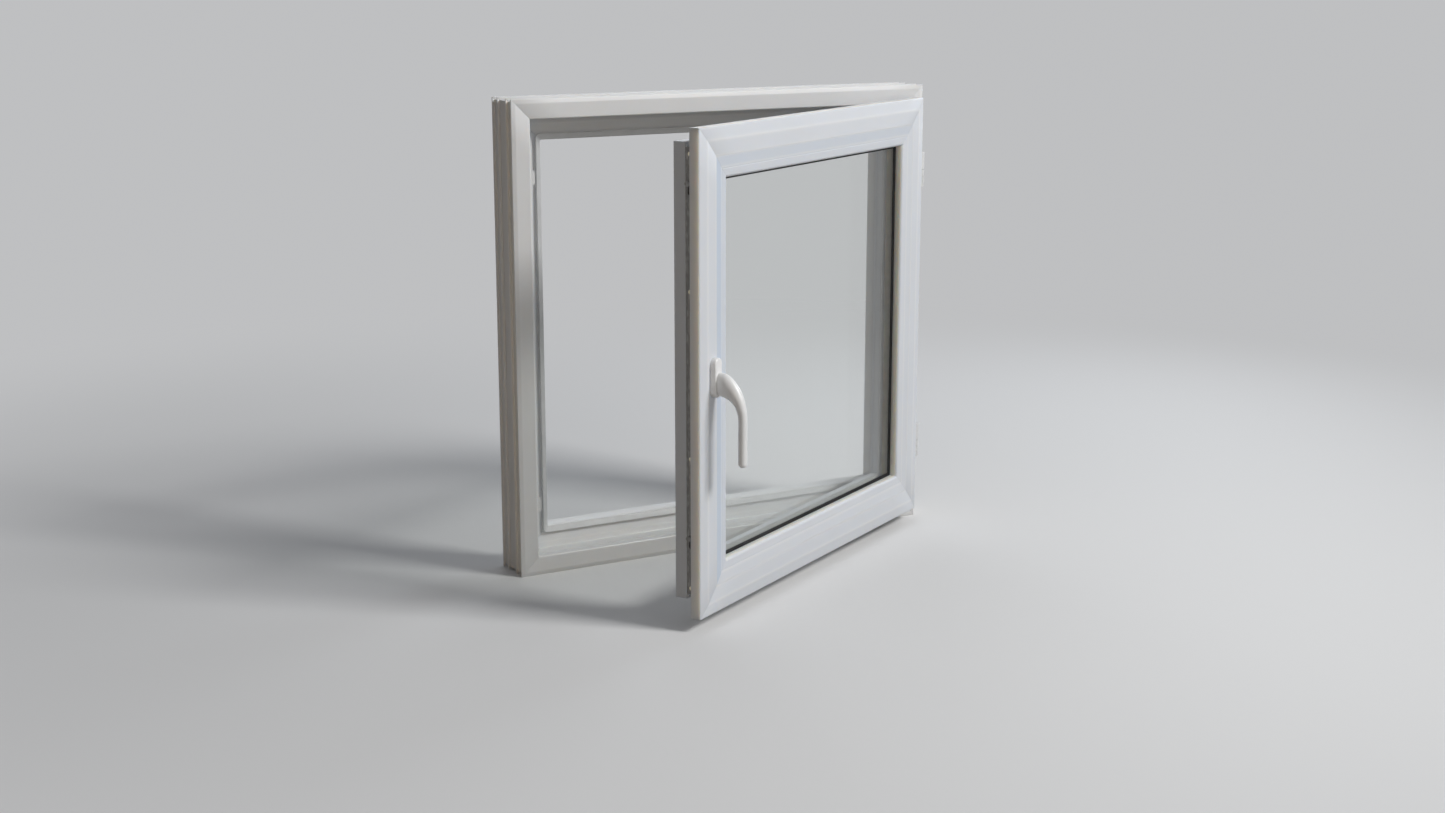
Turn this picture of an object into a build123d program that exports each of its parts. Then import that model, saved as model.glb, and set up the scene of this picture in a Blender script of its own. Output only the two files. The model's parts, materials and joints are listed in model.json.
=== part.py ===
from build123d import *
from math import acos, cos, pi, radians, sin, tan
import os

# An inward-opening, side-hung plastic window: a welded frame of hollow lengths, a sash that turns on
# two lift-off hinges, a sealed glazing unit held by beads, and a rack-and-pinion lock worked by a lever.
# Millimetres. +X is to the right seen from the room, +Y from the room to the outside, +Z is up.
# The origin is at the middle of the frame's underside, in the plane of its room face.
# Sections are drawn with x as the distance inward from an outer edge and y as the depth from the room.

# Outer frame
frame_width = 800.0
frame_height = 800.0
frame_depth = 80.0
face_width = 32.5
stop_height = 70.4
rebate_depth = 45.0
riser_straight = 10.5
riser_lean_height = 15.0
riser_lean = 2.0
stop_chamfer = 3.0
face_bevel_width = 7.0
face_bevel_drop = 2.0
face_round = 2.0
outer_groove_depth = 4.0
land_width = 3.0
second_land = 24.0
third_land = 58.0
rebate_line_place = 17.5
rebate_line_width = 2.0
rebate_line_depth = 1.2
first_web = 20.0
second_web = 53.0
stop_web = 63.0

# Walls of every hollow length, and the steel inside it
wall = 2.8
web = 2.2
steel_wall = 1.5
steel_play = 0.2
steel_setback = 25.0

# Fixing holes through the jambs
fixing_radius = 3.75
fixing_inset = 150.0
fixing_place = 34.0

# Sash
flange_lap = 11.5
hardware_gap = 11.5
seal_gap = 3.0
stop_gap = 6.0
flange_thick = 20.0
flange_bevel_width = 20.5
flange_bevel_drop = 2.5
flange_round = 1.2
bead_joint = 45.0
sightline = 79.5
leg_chamfer = 4.0
open_angle = 29.6

# Glazing
glass_set = 19.0
glass_cover = 21.0
pane_thick = 4.0
cavity = 16.0
packer_thick = 5.0
packer_length = 100.0
packer_inset = 170.0
edge_seal_width = 8.0
spacer_width = 7.0
bead_step = 7.0
bead_lip = 0.5
bead_slope_width = 19.0
bead_slope_fall = 1.2
bead_nose_fall = 0.6
bead_line_width = 1.0
bead_line_depth = 0.5
bead_round = 2.5
bead_wall = 1.8
inner_seal_thick = 2.5
inner_seal_show = 5.0
outer_seal_thick = 4.0
outer_seal_show = 2.0
seal_cover = 10.0

# Gaskets between frame and sash
frame_seal_width = 10.5
frame_seal_edge = 0.9
frame_seal_round = 8.0
sash_seal_place = 3.5
sash_seal_width = 6.0
seal_foot_set = 1.0
seal_foot_width = 3.0
seal_foot_depth = 3.3
seal_clearance = 0.3

# Lock: faceplate, drive rod, cams and keeps
groove_set = 13.0
faceplate_width = 16.0
faceplate_thick = 2.0
faceplate_inset = 8.0
faceplate_play = 0.1
channel_width = 12.0
channel_depth = 4.2
rod_width = 8.6
rod_thick = 3.3
rod_play = 0.2
rod_overrun = 20.0
cam_radius = 4.5
cam_stem_radius = 3.4
cam_head = 3.0
cam_reach = 8.0
slot_play = 0.3
slot_overrun = 1.0
upper_keep_drop = 114.0
lower_keep_rise = 136.0
keep_length = 50.0
keep_plate = 2.5
keep_setback = 2.2
keep_depth = 17.8
keep_lip = 2.8
keep_lip_rise = 7.5
keep_screw_spread = 32.0
keep_mouth = 8.0

# Gearbox
handle_height = 400.0
tooth_module = 1.2
pinion_teeth = 14
rack_gap_count = 9
rack_gap_count_below = 2
pressure_angle = 20.0
rack_addendum = 0.96
backlash = 0.12
tooth_clearance = 0.3
pinion_width = 6.0
hub_radius = 6.0
case_thick = 14.0
case_wall = 2.5
case_length = 68.0
running_play = 0.05

# Handle
spindle_size = 7.0
spindle_play = 0.1
spindle_in_lever = 14.0
handle_screw_spacing = 43.0
base_length = 62.0
base_width = 20.0
base_height = 10.0
base_round = 4.0
base_wall = 2.5
backplate_thick = 3.0
spigot_radius = 7.5
lever_play = 0.3
grip_standoff = 52.0
grip_radius = 7.1
lever_reach = 135.5

# Hinges
hinge_inset = 150.0
hinge_length = 61.0
knuckle_radius = 8.7
hinge_play = 0.3
hinge_back_gap = 2.3
washer_thick = 1.0
pin_radius = 3.5
pin_fit = 0.02
pin_in_block = 9.0
pin_in_knuckle = 22.0
leaf_thick = 2.5
leaf_drop = 25.0
leaf_reach = 30.0
leaf_screw_place = 25.0
leaf_screw_heights = (-18.0, 5.0, 24.0)
block_screw_drops = (15.0, 25.0)
block_screw_sink = 2.0
screw_cap_thick = 1.2

# Screws
screw_radius = 2.0
screw_head_radius = 3.5
screw_play = 0.05
short_screw = 18.0
long_screw = 36.0
handle_screw_radius = 2.5
handle_screw_head = 4.5

# Places that follow from the sizes above, with the sash closed
margin = face_width - flange_lap
sash_width = frame_width - 2 * margin
sash_height = frame_height - 2 * margin
sash_face = -(seal_gap + flange_thick)
sash_depth = rebate_depth - stop_gap - sash_face
flange_reach = flange_lap + hardware_gap
frame_middle = frame_height / 2
riser_top = face_width + riser_straight + riser_lean_height
riser_face = rebate_depth + riser_lean
glass_edge = sightline - glass_cover
glazing_floor = glass_edge - packer_thick
unit_thick = 2 * pane_thick + cavity
leg_front = glass_set + unit_thick + outer_seal_thick
bead_back = glass_set - inner_seal_thick
groove_axis = flange_thick + groove_set
lock_axis_y = sash_face + groove_axis
lock_side = -sash_width / 2 + flange_reach
rod_back = flange_reach + faceplate_thick + rod_play
rod_front = rod_back + rod_thick
pitch_radius = tooth_module * pinion_teeth / 2
pitch_line = rod_front - rack_addendum
spindle_set = pitch_line + pitch_radius
spindle_x = -sash_width / 2 + spindle_set
rod_travel = pitch_radius * pi / 2
jamb_floor = frame_width / 2 - face_width
hinge_x = sash_width / 2 + knuckle_radius + hinge_play
hinge_y = -(knuckle_radius + hinge_back_gap)
hinge_heights = {"lower": hinge_inset, "upper": frame_height - hinge_inset}
keep_heights = {"lower": lower_keep_rise, "upper": frame_height - upper_keep_drop}
hinge_axis = Axis((hinge_x, hinge_y, 0), (0, 0, 1))
room = (0, -1, 0)

os.makedirs("parts", exist_ok=True)


def save(part, name):
    """Label a finished piece and write it."""
    part.label = name
    export_step(part, f"parts/{name}.step")


def save_on_sash(part, name):
    """Turn a piece that was modelled on the closed sash to the open angle, then write it."""
    save(part.rotate(hinge_axis, open_angle), name)


def sides_of(width, height, base, face):
    """Planes along the four sides of an upright rectangle: x inward, y away from the room."""
    sill = Plane((width / 2, face, base), x_dir=(0, 0, 1), z_dir=(-1, 0, 0))
    lock = Plane((-width / 2, face, base), x_dir=(1, 0, 0), z_dir=(0, 0, 1))
    head = Plane((-width / 2, face, base + height), x_dir=(0, 0, -1), z_dir=(1, 0, 0))
    hinge = Plane((width / 2, face, base + height), x_dir=(-1, 0, 0), z_dir=(0, 0, -1))
    return {"sill": (sill, width), "lock": (lock, height), "head": (head, width), "hinge": (hinge, height)}


def cut_out(low_x, high_x, low_y, high_y):
    """Cut a rectangle, given by its limits, out of the section being drawn."""
    with Locations(((low_x + high_x) / 2, (low_y + high_y) / 2)):
        Rectangle(high_x - low_x, high_y - low_y, mode=Mode.SUBTRACT)


def mitred(section, side, length):
    """A section carried along one side and cut at 45 degrees at both ends."""
    with BuildPart() as member:
        with BuildSketch(side):
            add(section)
        extrude(amount=length)
        split(bisect_by=Plane(side.origin, z_dir=side.z_dir - side.x_dir), keep=Keep.TOP)
        far_end = side.origin + side.z_dir * length
        split(bisect_by=Plane(far_end, z_dir=-side.z_dir - side.x_dir), keep=Keep.TOP)
    return member.part


def steel_bar(side, length, end_gap, low_x, high_x, low_y, high_y):
    """A square-cut steel tube in a chamber, a little clear of its walls."""
    wide = high_x - low_x - 2 * steel_play
    deep = high_y - low_y - 2 * steel_play
    with BuildPart() as bar:
        with BuildSketch(side.offset(end_gap)):
            with Locations(((low_x + high_x) / 2, (low_y + high_y) / 2)):
                Rectangle(wide, deep)
                Rectangle(wide - 2 * steel_wall, deep - 2 * steel_wall, mode=Mode.SUBTRACT)
        extrude(amount=length - 2 * end_gap)
    return bar.part


def sash_ring(outer_inset, inner_inset, low_depth, high_depth):
    """A rectangular ring on the closed sash, between two insets from its outer edge."""
    with BuildPart() as ring:
        face = Plane((0, sash_face + low_depth, frame_middle), x_dir=(1, 0, 0), z_dir=(0, 1, 0))
        with BuildSketch(face):
            Rectangle(sash_width - 2 * outer_inset, sash_height - 2 * outer_inset)
            Rectangle(sash_width - 2 * inner_inset, sash_height - 2 * inner_inset, mode=Mode.SUBTRACT)
        extrude(amount=high_depth - low_depth)
    return ring.part


def drill(places, outward, radius, depth):
    """Cut round holes into the part being built, inward from each place."""
    for place in places:
        with Locations(Plane(place, z_dir=outward)):
            Cylinder(radius, depth, align=(Align.CENTER, Align.CENTER, Align.MAX), mode=Mode.SUBTRACT)


def sink(places, outward, depth):
    """Cut countersunk screw holes into the part being built."""
    for place in places:
        with Locations(Plane(place, z_dir=outward)):
            CounterSinkHole(screw_radius + screw_play, screw_head_radius + screw_play, depth, 90)


def screws(places, outward, length, radius=screw_radius, head=screw_head_radius):
    """Countersunk screws, one solid for each place, with the heads flush at the places."""
    with BuildPart() as group:
        for place in places:
            with Locations(Plane(place, z_dir=outward)):
                Cone(radius, head, head - radius, align=(Align.CENTER, Align.CENTER, Align.MAX))
                Cylinder(radius, length, align=(Align.CENTER, Align.CENTER, Align.MAX))
    return group.part


# Frame section: face, rebate floor, leaning stop, and three shallow grooves between lands outside
floor_inside = face_width - wall
groove_inside = outer_groove_depth + wall
stop_inside = face_width - wall + web
with BuildSketch() as frame_section:
    with BuildLine():
        Polyline(
            (0, face_bevel_drop),
            (face_bevel_width, 0),
            (face_width, 0),
            (face_width, rebate_depth),
            (face_width + riser_straight, rebate_depth),
            (riser_top, riser_face),
            (stop_height, riser_face),
            (stop_height, frame_depth - stop_chamfer),
            (stop_height - stop_chamfer, frame_depth),
            (0, frame_depth),
            close=True,
        )
    make_face()
    face_edge = frame_section.vertices().sort_by_distance((face_width, 0))[0]
    fillet(face_edge, radius=face_round)
    lands = (face_bevel_drop + land_width / 2, second_land, third_land, frame_depth - land_width / 2)
    for near, far in zip(lands, lands[1:]):
        cut_out(0, outer_groove_depth, near + land_width / 2, far - land_width / 2)
    line_low = rebate_line_place - rebate_line_width / 2
    cut_out(face_width - rebate_line_depth, face_width, line_low, line_low + rebate_line_width)
    cut_out(groove_inside, floor_inside, wall, first_web)
    cut_out(groove_inside, floor_inside, first_web + web, second_web)
    cut_out(groove_inside, floor_inside, second_web + web, frame_depth - wall)
    cut_out(stop_inside, riser_top, riser_face + wall, stop_web)
    cut_out(stop_inside, stop_height - wall, stop_web + web, frame_depth - wall)
    frame_foot = stop_height - frame_seal_edge - frame_seal_width + seal_foot_set
    cut_out(frame_foot, frame_foot + seal_foot_width, riser_face, riser_face + seal_foot_depth)

frame_sides = sides_of(frame_width, frame_height, 0, 0)
fixing_heights = (fixing_inset, frame_height - fixing_inset)
block_front = hinge_y - knuckle_radius
block_screw_heights = [z - drop for z in hinge_heights.values() for drop in block_screw_drops]
block_screw_places = [(hinge_x, block_front + block_screw_sink, z) for z in block_screw_heights]
keep_face = -jamb_floor + keep_plate
keep_screw_y = keep_setback + keep_lip + (keep_depth - keep_lip) / 2
keep_screw_places = [
    (keep_face, keep_screw_y, z + shift)
    for z in keep_heights.values()
    for shift in (-keep_screw_spread / 2, keep_screw_spread / 2)
]

with BuildPart() as frame_head:
    add(mitred(frame_section.sketch, *frame_sides["head"]))
save(frame_head.part, "frame_head")

with BuildPart() as frame_sill:
    add(mitred(frame_section.sketch, *frame_sides["sill"]))
save(frame_sill.part, "frame_sill")

with BuildPart() as frame_lock_jamb:
    add(mitred(frame_section.sketch, *frame_sides["lock"]))
    drill([(-jamb_floor, fixing_place, z) for z in fixing_heights], (1, 0, 0), fixing_radius, face_width)
    drill(keep_screw_places, (1, 0, 0), screw_radius + screw_play, short_screw)
save(frame_lock_jamb.part, "frame_lock_jamb")

with BuildPart() as frame_hinge_jamb:
    add(mitred(frame_section.sketch, *frame_sides["hinge"]))
    drill([(jamb_floor, fixing_place, z) for z in fixing_heights], (-1, 0, 0), fixing_radius, face_width)
    drill(block_screw_places, room, screw_radius + screw_play, long_screw)
save(frame_hinge_jamb.part, "frame_hinge_jamb")

# Steel in the frame's middle chamber, drilled where the fixings pass
frame_steel_end = face_width + steel_setback
frame_chamber = (groove_inside, floor_inside, first_web + web, second_web)
for name, (side, length) in frame_sides.items():
    with BuildPart() as frame_steel:
        add(steel_bar(side, length, frame_steel_end, *frame_chamber))
        if name in ("lock", "hinge"):
            outward = -1 if name == "hinge" else 1
            fixings = [(-outward * jamb_floor, fixing_place, z) for z in fixing_heights]
            drill(fixings, (outward, 0, 0), fixing_radius, face_width)
    save(frame_steel.part, f"frame_{name}_steel")

# Frame gasket: a square foot in the stop's slot and a soft bulb with bent corners
seal_outer = stop_height - frame_seal_edge - frame_seal_width
seal_inner = stop_height - frame_seal_edge
seal_front = sash_face + sash_depth + seal_clearance
with BuildPart() as frame_gasket:
    bulb_face = Plane((0, seal_front, frame_middle), x_dir=(1, 0, 0), z_dir=(0, 1, 0))
    with BuildSketch(bulb_face):
        RectangleRounded(frame_width - 2 * seal_outer, frame_height - 2 * seal_outer, frame_seal_round)
        Rectangle(frame_width - 2 * seal_inner, frame_height - 2 * seal_inner, mode=Mode.SUBTRACT)
    extrude(amount=riser_face - seal_front)
    fillet(frame_gasket.faces().sort_by(Axis.Y)[0].outer_wire().edges(), radius=frame_seal_width / 3)
    foot_face = Plane((0, riser_face, frame_middle), x_dir=(1, 0, 0), z_dir=(0, 1, 0))
    foot_inner = frame_foot + seal_foot_width
    with BuildSketch(foot_face):
        Rectangle(frame_width - 2 * frame_foot, frame_height - 2 * frame_foot)
        Rectangle(frame_width - 2 * foot_inner, frame_height - 2 * foot_inner, mode=Mode.SUBTRACT)
    extrude(amount=seal_foot_depth)
save(frame_gasket.part, "frame_gasket")

# Keeps: a screwed plate with a lip that a cam slides behind, open above the lip
for name, height in keep_heights.items():
    with BuildPart() as keep:
        with BuildSketch(Plane.XY.offset(height - keep_length / 2)):
            with Locations((-jamb_floor, keep_setback)):
                Rectangle(keep_plate, keep_depth, align=Align.MIN)
        extrude(amount=keep_length)
        with BuildSketch(Plane.XY.offset(height - keep_length / 2)):
            with Locations((-jamb_floor, keep_setback)):
                Rectangle(keep_lip_rise, keep_lip, align=Align.MIN)
        extrude(amount=keep_length / 2 - slot_overrun)
        lip_end = keep.edges().filter_by(Axis.Y).sort_by(Axis.X)[-2:]
        chamfer(lip_end, length=keep_lip)
        own_screws = [place for place in keep_screw_places if abs(place[2] - height) < keep_length]
        sink(own_screws, (1, 0, 0), keep_plate)
    save(keep.part, f"{name}_keep")
save(screws(keep_screw_places, (1, 0, 0), short_screw), "keep_screws")

# Hinges on the frame: a round-fronted block with capped screws and a pin that stands up out of it
for name, height in hinge_heights.items():
    with BuildPart() as hinge_block:
        block_top = height - washer_thick / 2
        with BuildSketch(Plane.XY.offset(height - hinge_length / 2)):
            with Locations((hinge_x, hinge_y)):
                Circle(knuckle_radius)
            with Locations((hinge_x - knuckle_radius, hinge_y)):
                Rectangle(2 * knuckle_radius, -hinge_y, align=Align.MIN)
        extrude(amount=block_top - height + hinge_length / 2)
        drill([(hinge_x, hinge_y, block_top)], (0, 0, 1), pin_radius + pin_fit, pin_in_block)
        own_screws = [place for place in block_screw_places if abs(place[2] - height) < hinge_length]
        sink(own_screws, room, -block_front)
        head_room = [(x, block_front, z) for x, y, z in own_screws]
        drill(head_room, room, screw_head_radius + screw_play, block_screw_sink)
    save(hinge_block.part, f"{name}_hinge_block")
    with BuildPart() as hinge_pin:
        with BuildSketch(Plane.XY.offset(block_top - pin_in_block)):
            with Locations((hinge_x, hinge_y)):
                Circle(pin_radius)
        extrude(amount=pin_in_block + washer_thick + pin_in_knuckle)
        chamfer(hinge_pin.edges().sort_by(Axis.Z)[-1], length=pin_radius / 4)
    save(hinge_pin.part, f"{name}_hinge_pin")
    with BuildPart() as hinge_washer:
        with BuildSketch(Plane.XY.offset(block_top)):
            with Locations((hinge_x, hinge_y)):
                Circle(knuckle_radius - hinge_play)
                Circle(pin_radius + running_play, mode=Mode.SUBTRACT)
        extrude(amount=washer_thick)
    save(hinge_washer.part, f"{name}_hinge_washer")
save(screws(block_screw_places, room, long_screw), "hinge_block_screws")
with BuildPart() as hinge_screw_caps:
    for place in block_screw_places:
        with Locations(Plane(place, z_dir=room)):
            Cylinder(screw_head_radius, screw_cap_thick, align=(Align.CENTER, Align.CENTER, Align.MIN))
save(hinge_screw_caps.part, "hinge_screw_caps")

# Sash section: bevelled flange, hardware groove in its side, glazing rebate and outer leg
with BuildSketch() as sash_section:
    with BuildLine():
        Polyline(
            (0, flange_bevel_drop),
            (flange_bevel_width, 0),
            (bead_joint, 0),
            (bead_joint, bead_step),
            (glazing_floor, bead_step),
            (glazing_floor, leg_front),
            (sightline, leg_front),
            (sightline, sash_depth - leg_chamfer),
            (sightline - leg_chamfer, sash_depth),
            (flange_reach, sash_depth),
            (flange_reach, flange_thick),
            (0, flange_thick),
            close=True,
        )
    make_face()
    flange_corners = sash_section.vertices().group_by(Axis.X)[0]
    fillet(flange_corners, radius=flange_round)
    plate_half = faceplate_width / 2 + faceplate_play
    plate_floor = flange_reach + faceplate_thick
    channel_floor = plate_floor + channel_depth
    cut_out(flange_reach, plate_floor, groove_axis - plate_half, groove_axis + plate_half)
    cut_out(plate_floor, channel_floor, groove_axis - channel_width / 2, groove_axis + channel_width / 2)
    sash_foot = sash_seal_place + seal_foot_set
    cut_out(sash_foot, sash_foot + seal_foot_width, flange_thick - seal_foot_depth, flange_thick)
    flange_inside = flange_thick - seal_foot_depth - web
    rear_chamber = groove_axis + plate_half + web
    cut_out(wall, flange_bevel_width, flange_bevel_drop + wall, flange_inside)
    cut_out(flange_bevel_width + web, bead_joint - wall, wall, flange_inside)
    cut_out(channel_floor + web, glazing_floor - wall, flange_thick + web, rear_chamber - web)
    cut_out(flange_reach + wall, glazing_floor - wall, rear_chamber, sash_depth - wall)
    cut_out(glazing_floor, sightline - leg_chamfer - wall, leg_front + wall, sash_depth - wall)

sash_sides = sides_of(sash_width, sash_height, margin, sash_face)
case_half = case_thick / 2
case_inner = rod_front + rod_play
case_end = spindle_set + pitch_radius + tooth_module + tooth_clearance + case_wall
screw_rises = (-handle_screw_spacing / 2, handle_screw_spacing / 2)
handle_screw_heights = [handle_height + rise for rise in screw_rises]
handle_screw_places = [(spindle_x, sash_face - backplate_thick, z) for z in handle_screw_heights]
leaf_side = sash_width / 2 - flange_reach
leaf_face = leaf_side + leaf_thick
leaf_screw_places = [
    (leaf_face, leaf_screw_place, height + rise)
    for height in hinge_heights.values()
    for rise in leaf_screw_heights
]
faceplate_low = margin + flange_reach + faceplate_inset
faceplate_high = frame_height - faceplate_low
faceplate_screw_ends = 10.0
rod_screw_rise = 130.0
faceplate_screw_heights = (
    faceplate_low + faceplate_screw_ends,
    handle_height - rod_screw_rise,
    handle_height + rod_screw_rise,
    faceplate_high - faceplate_screw_ends,
)
faceplate_screw_places = [(lock_side, lock_axis_y, z) for z in faceplate_screw_heights]
left = (-1, 0, 0)
right = (1, 0, 0)

with BuildPart() as sash_top_rail:
    add(mitred(sash_section.sketch, *sash_sides["head"]))
save_on_sash(sash_top_rail.part, "sash_top_rail")

with BuildPart() as sash_bottom_rail:
    add(mitred(sash_section.sketch, *sash_sides["sill"]))
save_on_sash(sash_bottom_rail.part, "sash_bottom_rail")

with BuildPart() as sash_lock_stile:
    add(mitred(sash_section.sketch, *sash_sides["lock"]))
    with Locations((lock_side + faceplate_thick, lock_axis_y, handle_height)):
        pocket_depth = case_end - plate_floor + rod_play
        pocket_size = (pocket_depth, case_thick + rod_play, case_length + rod_play)
        Box(*pocket_size, align=(Align.MIN, Align.CENTER, Align.CENTER), mode=Mode.SUBTRACT)
    drill([(spindle_x, sash_face, handle_height)], room, hub_radius + screw_play, groove_axis)
    handle_holes = [(spindle_x, sash_face, z) for z in handle_screw_heights]
    drill(handle_holes, room, handle_screw_radius + screw_play, groove_axis)
    drill(faceplate_screw_places, left, screw_radius + screw_play, short_screw)
save_on_sash(sash_lock_stile.part, "sash_lock_stile")

with BuildPart() as sash_hinge_stile:
    add(mitred(sash_section.sketch, *sash_sides["hinge"]))
    drill(leaf_screw_places, right, screw_radius + screw_play, short_screw)
save_on_sash(sash_hinge_stile.part, "sash_hinge_stile")

# Steel in the sash's rear chamber
sash_steel_end = glazing_floor + steel_setback
sash_chamber = (flange_reach + wall, glazing_floor - wall, rear_chamber, sash_depth - wall)
for name, (side, length) in sash_sides.items():
    with BuildPart() as sash_steel:
        add(steel_bar(side, length, sash_steel_end, *sash_chamber))
        if name == "hinge":
            drill(leaf_screw_places, right, screw_radius + screw_play, short_screw)
    save_on_sash(sash_steel.part, f"sash_{name}_steel")

# Sash gasket on the back of the flange, notched where the hinge arms pass
arm_low = washer_thick / 2
arm_high = hinge_length / 2
seal_back = flange_thick + seal_gap - seal_clearance
with BuildPart() as sash_gasket:
    add(sash_ring(sash_seal_place, sash_seal_place + sash_seal_width, flange_thick, seal_back))
    add(sash_ring(sash_foot, sash_foot + seal_foot_width, flange_thick - seal_foot_depth, flange_thick))
    for height in hinge_heights.values():
        with Locations((sash_width / 2, sash_face + flange_thick, height + arm_low - seal_clearance)):
            notch = (flange_reach, seal_gap, arm_high - arm_low + 2 * seal_clearance)
            Box(*notch, align=(Align.MAX, Align.MIN, Align.MIN), mode=Mode.SUBTRACT)
save_on_sash(sash_gasket.part, "sash_gasket")

# Glazing beads: a sloping face set a little below the sash's, a fine line, and a rounded nose
bead_bend = bead_joint + bead_slope_width
bead_edge_fall = bead_lip + bead_slope_fall + bead_nose_fall
with BuildSketch() as bead_section:
    with BuildLine():
        Polyline(
            (bead_joint, bead_lip),
            (bead_bend, bead_lip + bead_slope_fall),
            (sightline, bead_edge_fall),
            (sightline, bead_back),
            (glazing_floor, bead_back),
            (glazing_floor, bead_step),
            (bead_joint, bead_step),
            close=True,
        )
    make_face()
    bead_nose = bead_section.vertices().sort_by_distance((sightline, bead_edge_fall))[0]
    fillet(bead_nose, radius=bead_round)
    cut_out(bead_bend, bead_bend + bead_line_width, 0, bead_lip + bead_slope_fall + bead_line_depth)
    bead_chamber_end = sightline - bead_round
    cut_out(glazing_floor + bead_wall, bead_chamber_end, bead_step + bead_wall, bead_back - bead_wall)
bead_names = {"head": "top_bead", "sill": "bottom_bead", "lock": "lock_side_bead", "hinge": "hinge_side_bead"}
for name, bead_name in bead_names.items():
    with BuildPart() as bead:
        add(mitred(bead_section.sketch, *sash_sides[name]))
    save_on_sash(bead.part, bead_name)

# Sealed unit: two panes, spacer bar, edge seal, and the gaskets and packers that bed it
inner_pane_back = glass_set + pane_thick
outer_pane_front = inner_pane_back + cavity
spacer_outer = glass_edge + edge_seal_width
with BuildPart() as inner_pane:
    pane_plane = Plane((0, sash_face + glass_set, frame_middle), x_dir=(1, 0, 0), z_dir=(0, 1, 0))
    with BuildSketch(pane_plane):
        Rectangle(sash_width - 2 * glass_edge, sash_height - 2 * glass_edge)
    extrude(amount=pane_thick)
save_on_sash(inner_pane.part, "inner_pane")

with BuildPart() as outer_pane:
    with BuildSketch(pane_plane.offset(pane_thick + cavity)):
        Rectangle(sash_width - 2 * glass_edge, sash_height - 2 * glass_edge)
    extrude(amount=pane_thick)
save_on_sash(outer_pane.part, "outer_pane")

save_on_sash(sash_ring(glass_edge, spacer_outer, inner_pane_back, outer_pane_front), "edge_seal")
save_on_sash(
    sash_ring(spacer_outer, spacer_outer + spacer_width, inner_pane_back, outer_pane_front), "spacer_bar"
)
inner_lip = sightline + inner_seal_show
save_on_sash(sash_ring(sightline - seal_cover, inner_lip, bead_back, glass_set), "inner_glazing_gasket")
save_on_sash(
    sash_ring(sightline - seal_cover, sightline + outer_seal_show, leg_front - outer_seal_thick, leg_front),
    "outer_glazing_gasket",
)

with BuildPart() as glazing_packers:
    for side, length in sash_sides.values():
        with BuildSketch(side.offset(packer_inset), side.offset(length - packer_inset - packer_length)):
            with Locations((glazing_floor, glass_set)):
                Rectangle(packer_thick, unit_thick, align=Align.MIN)
        extrude(amount=packer_length)
save_on_sash(glazing_packers.part, "glazing_packers")

# Hinge leaves on the sash: knuckle, arm through the seal gap, and a plate screwed to the sash's side
for name, height in hinge_heights.items():
    with BuildPart() as hinge_leaf:
        with BuildSketch(Plane.XY.offset(height + arm_low)):
            with Locations((hinge_x, hinge_y)):
                Circle(knuckle_radius)
            with Locations((hinge_x - knuckle_radius, hinge_y)):
                Rectangle(knuckle_radius, -hinge_y - hinge_play, align=Align.MIN)
            with Locations((leaf_side, -seal_gap + hinge_play)):
                Rectangle(hinge_x - leaf_side, seal_gap - 2 * hinge_play, align=Align.MIN)
        extrude(amount=arm_high - arm_low)
        with BuildSketch(Plane.XY.offset(height - leaf_drop)):
            with Locations((leaf_side, -seal_gap + hinge_play)):
                Rectangle(leaf_thick, leaf_reach + seal_gap - hinge_play, align=Align.MIN)
        extrude(amount=leaf_drop + arm_high)
        bore_top = (hinge_x, hinge_y, height + arm_low + pin_in_knuckle + hinge_play)
        drill([bore_top], (0, 0, 1), pin_radius + running_play, pin_in_knuckle + hinge_play)
        own_screws = [place for place in leaf_screw_places if abs(place[2] - height) < hinge_length]
        sink(own_screws, right, leaf_thick)
    save_on_sash(hinge_leaf.part, f"{name}_hinge_leaf")
save_on_sash(screws(leaf_screw_places, right, short_screw), "hinge_leaf_screws")

# Lock faceplate: a flush strip with slots for the cams
cam_places = [(lock_side, lock_axis_y, z + keep_mouth) for z in keep_heights.values()]
slot_length = rod_travel + 2 * (cam_stem_radius + slot_play + slot_overrun)
lock_plane = Plane((lock_side, lock_axis_y, 0), x_dir=(0, 1, 0), z_dir=(-1, 0, 0))
with BuildPart() as lock_faceplate:
    with BuildSketch(Plane.XY.offset(faceplate_low)):
        with Locations((lock_side, lock_axis_y)):
            Rectangle(faceplate_thick, faceplate_width, align=(Align.MIN, Align.CENTER))
    extrude(amount=faceplate_high - faceplate_low)
    with BuildSketch(lock_plane):
        with Locations(*[(0, -(z + keep_mouth - rod_travel / 2)) for z in keep_heights.values()]):
            SlotOverall(slot_length, 2 * (cam_stem_radius + slot_play), rotation=90)
    extrude(amount=-faceplate_thick, mode=Mode.SUBTRACT)
    sink(faceplate_screw_places, left, faceplate_thick)
save_on_sash(lock_faceplate.part, "lock_faceplate")
save_on_sash(screws(faceplate_screw_places, left, short_screw), "faceplate_screws")

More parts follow.
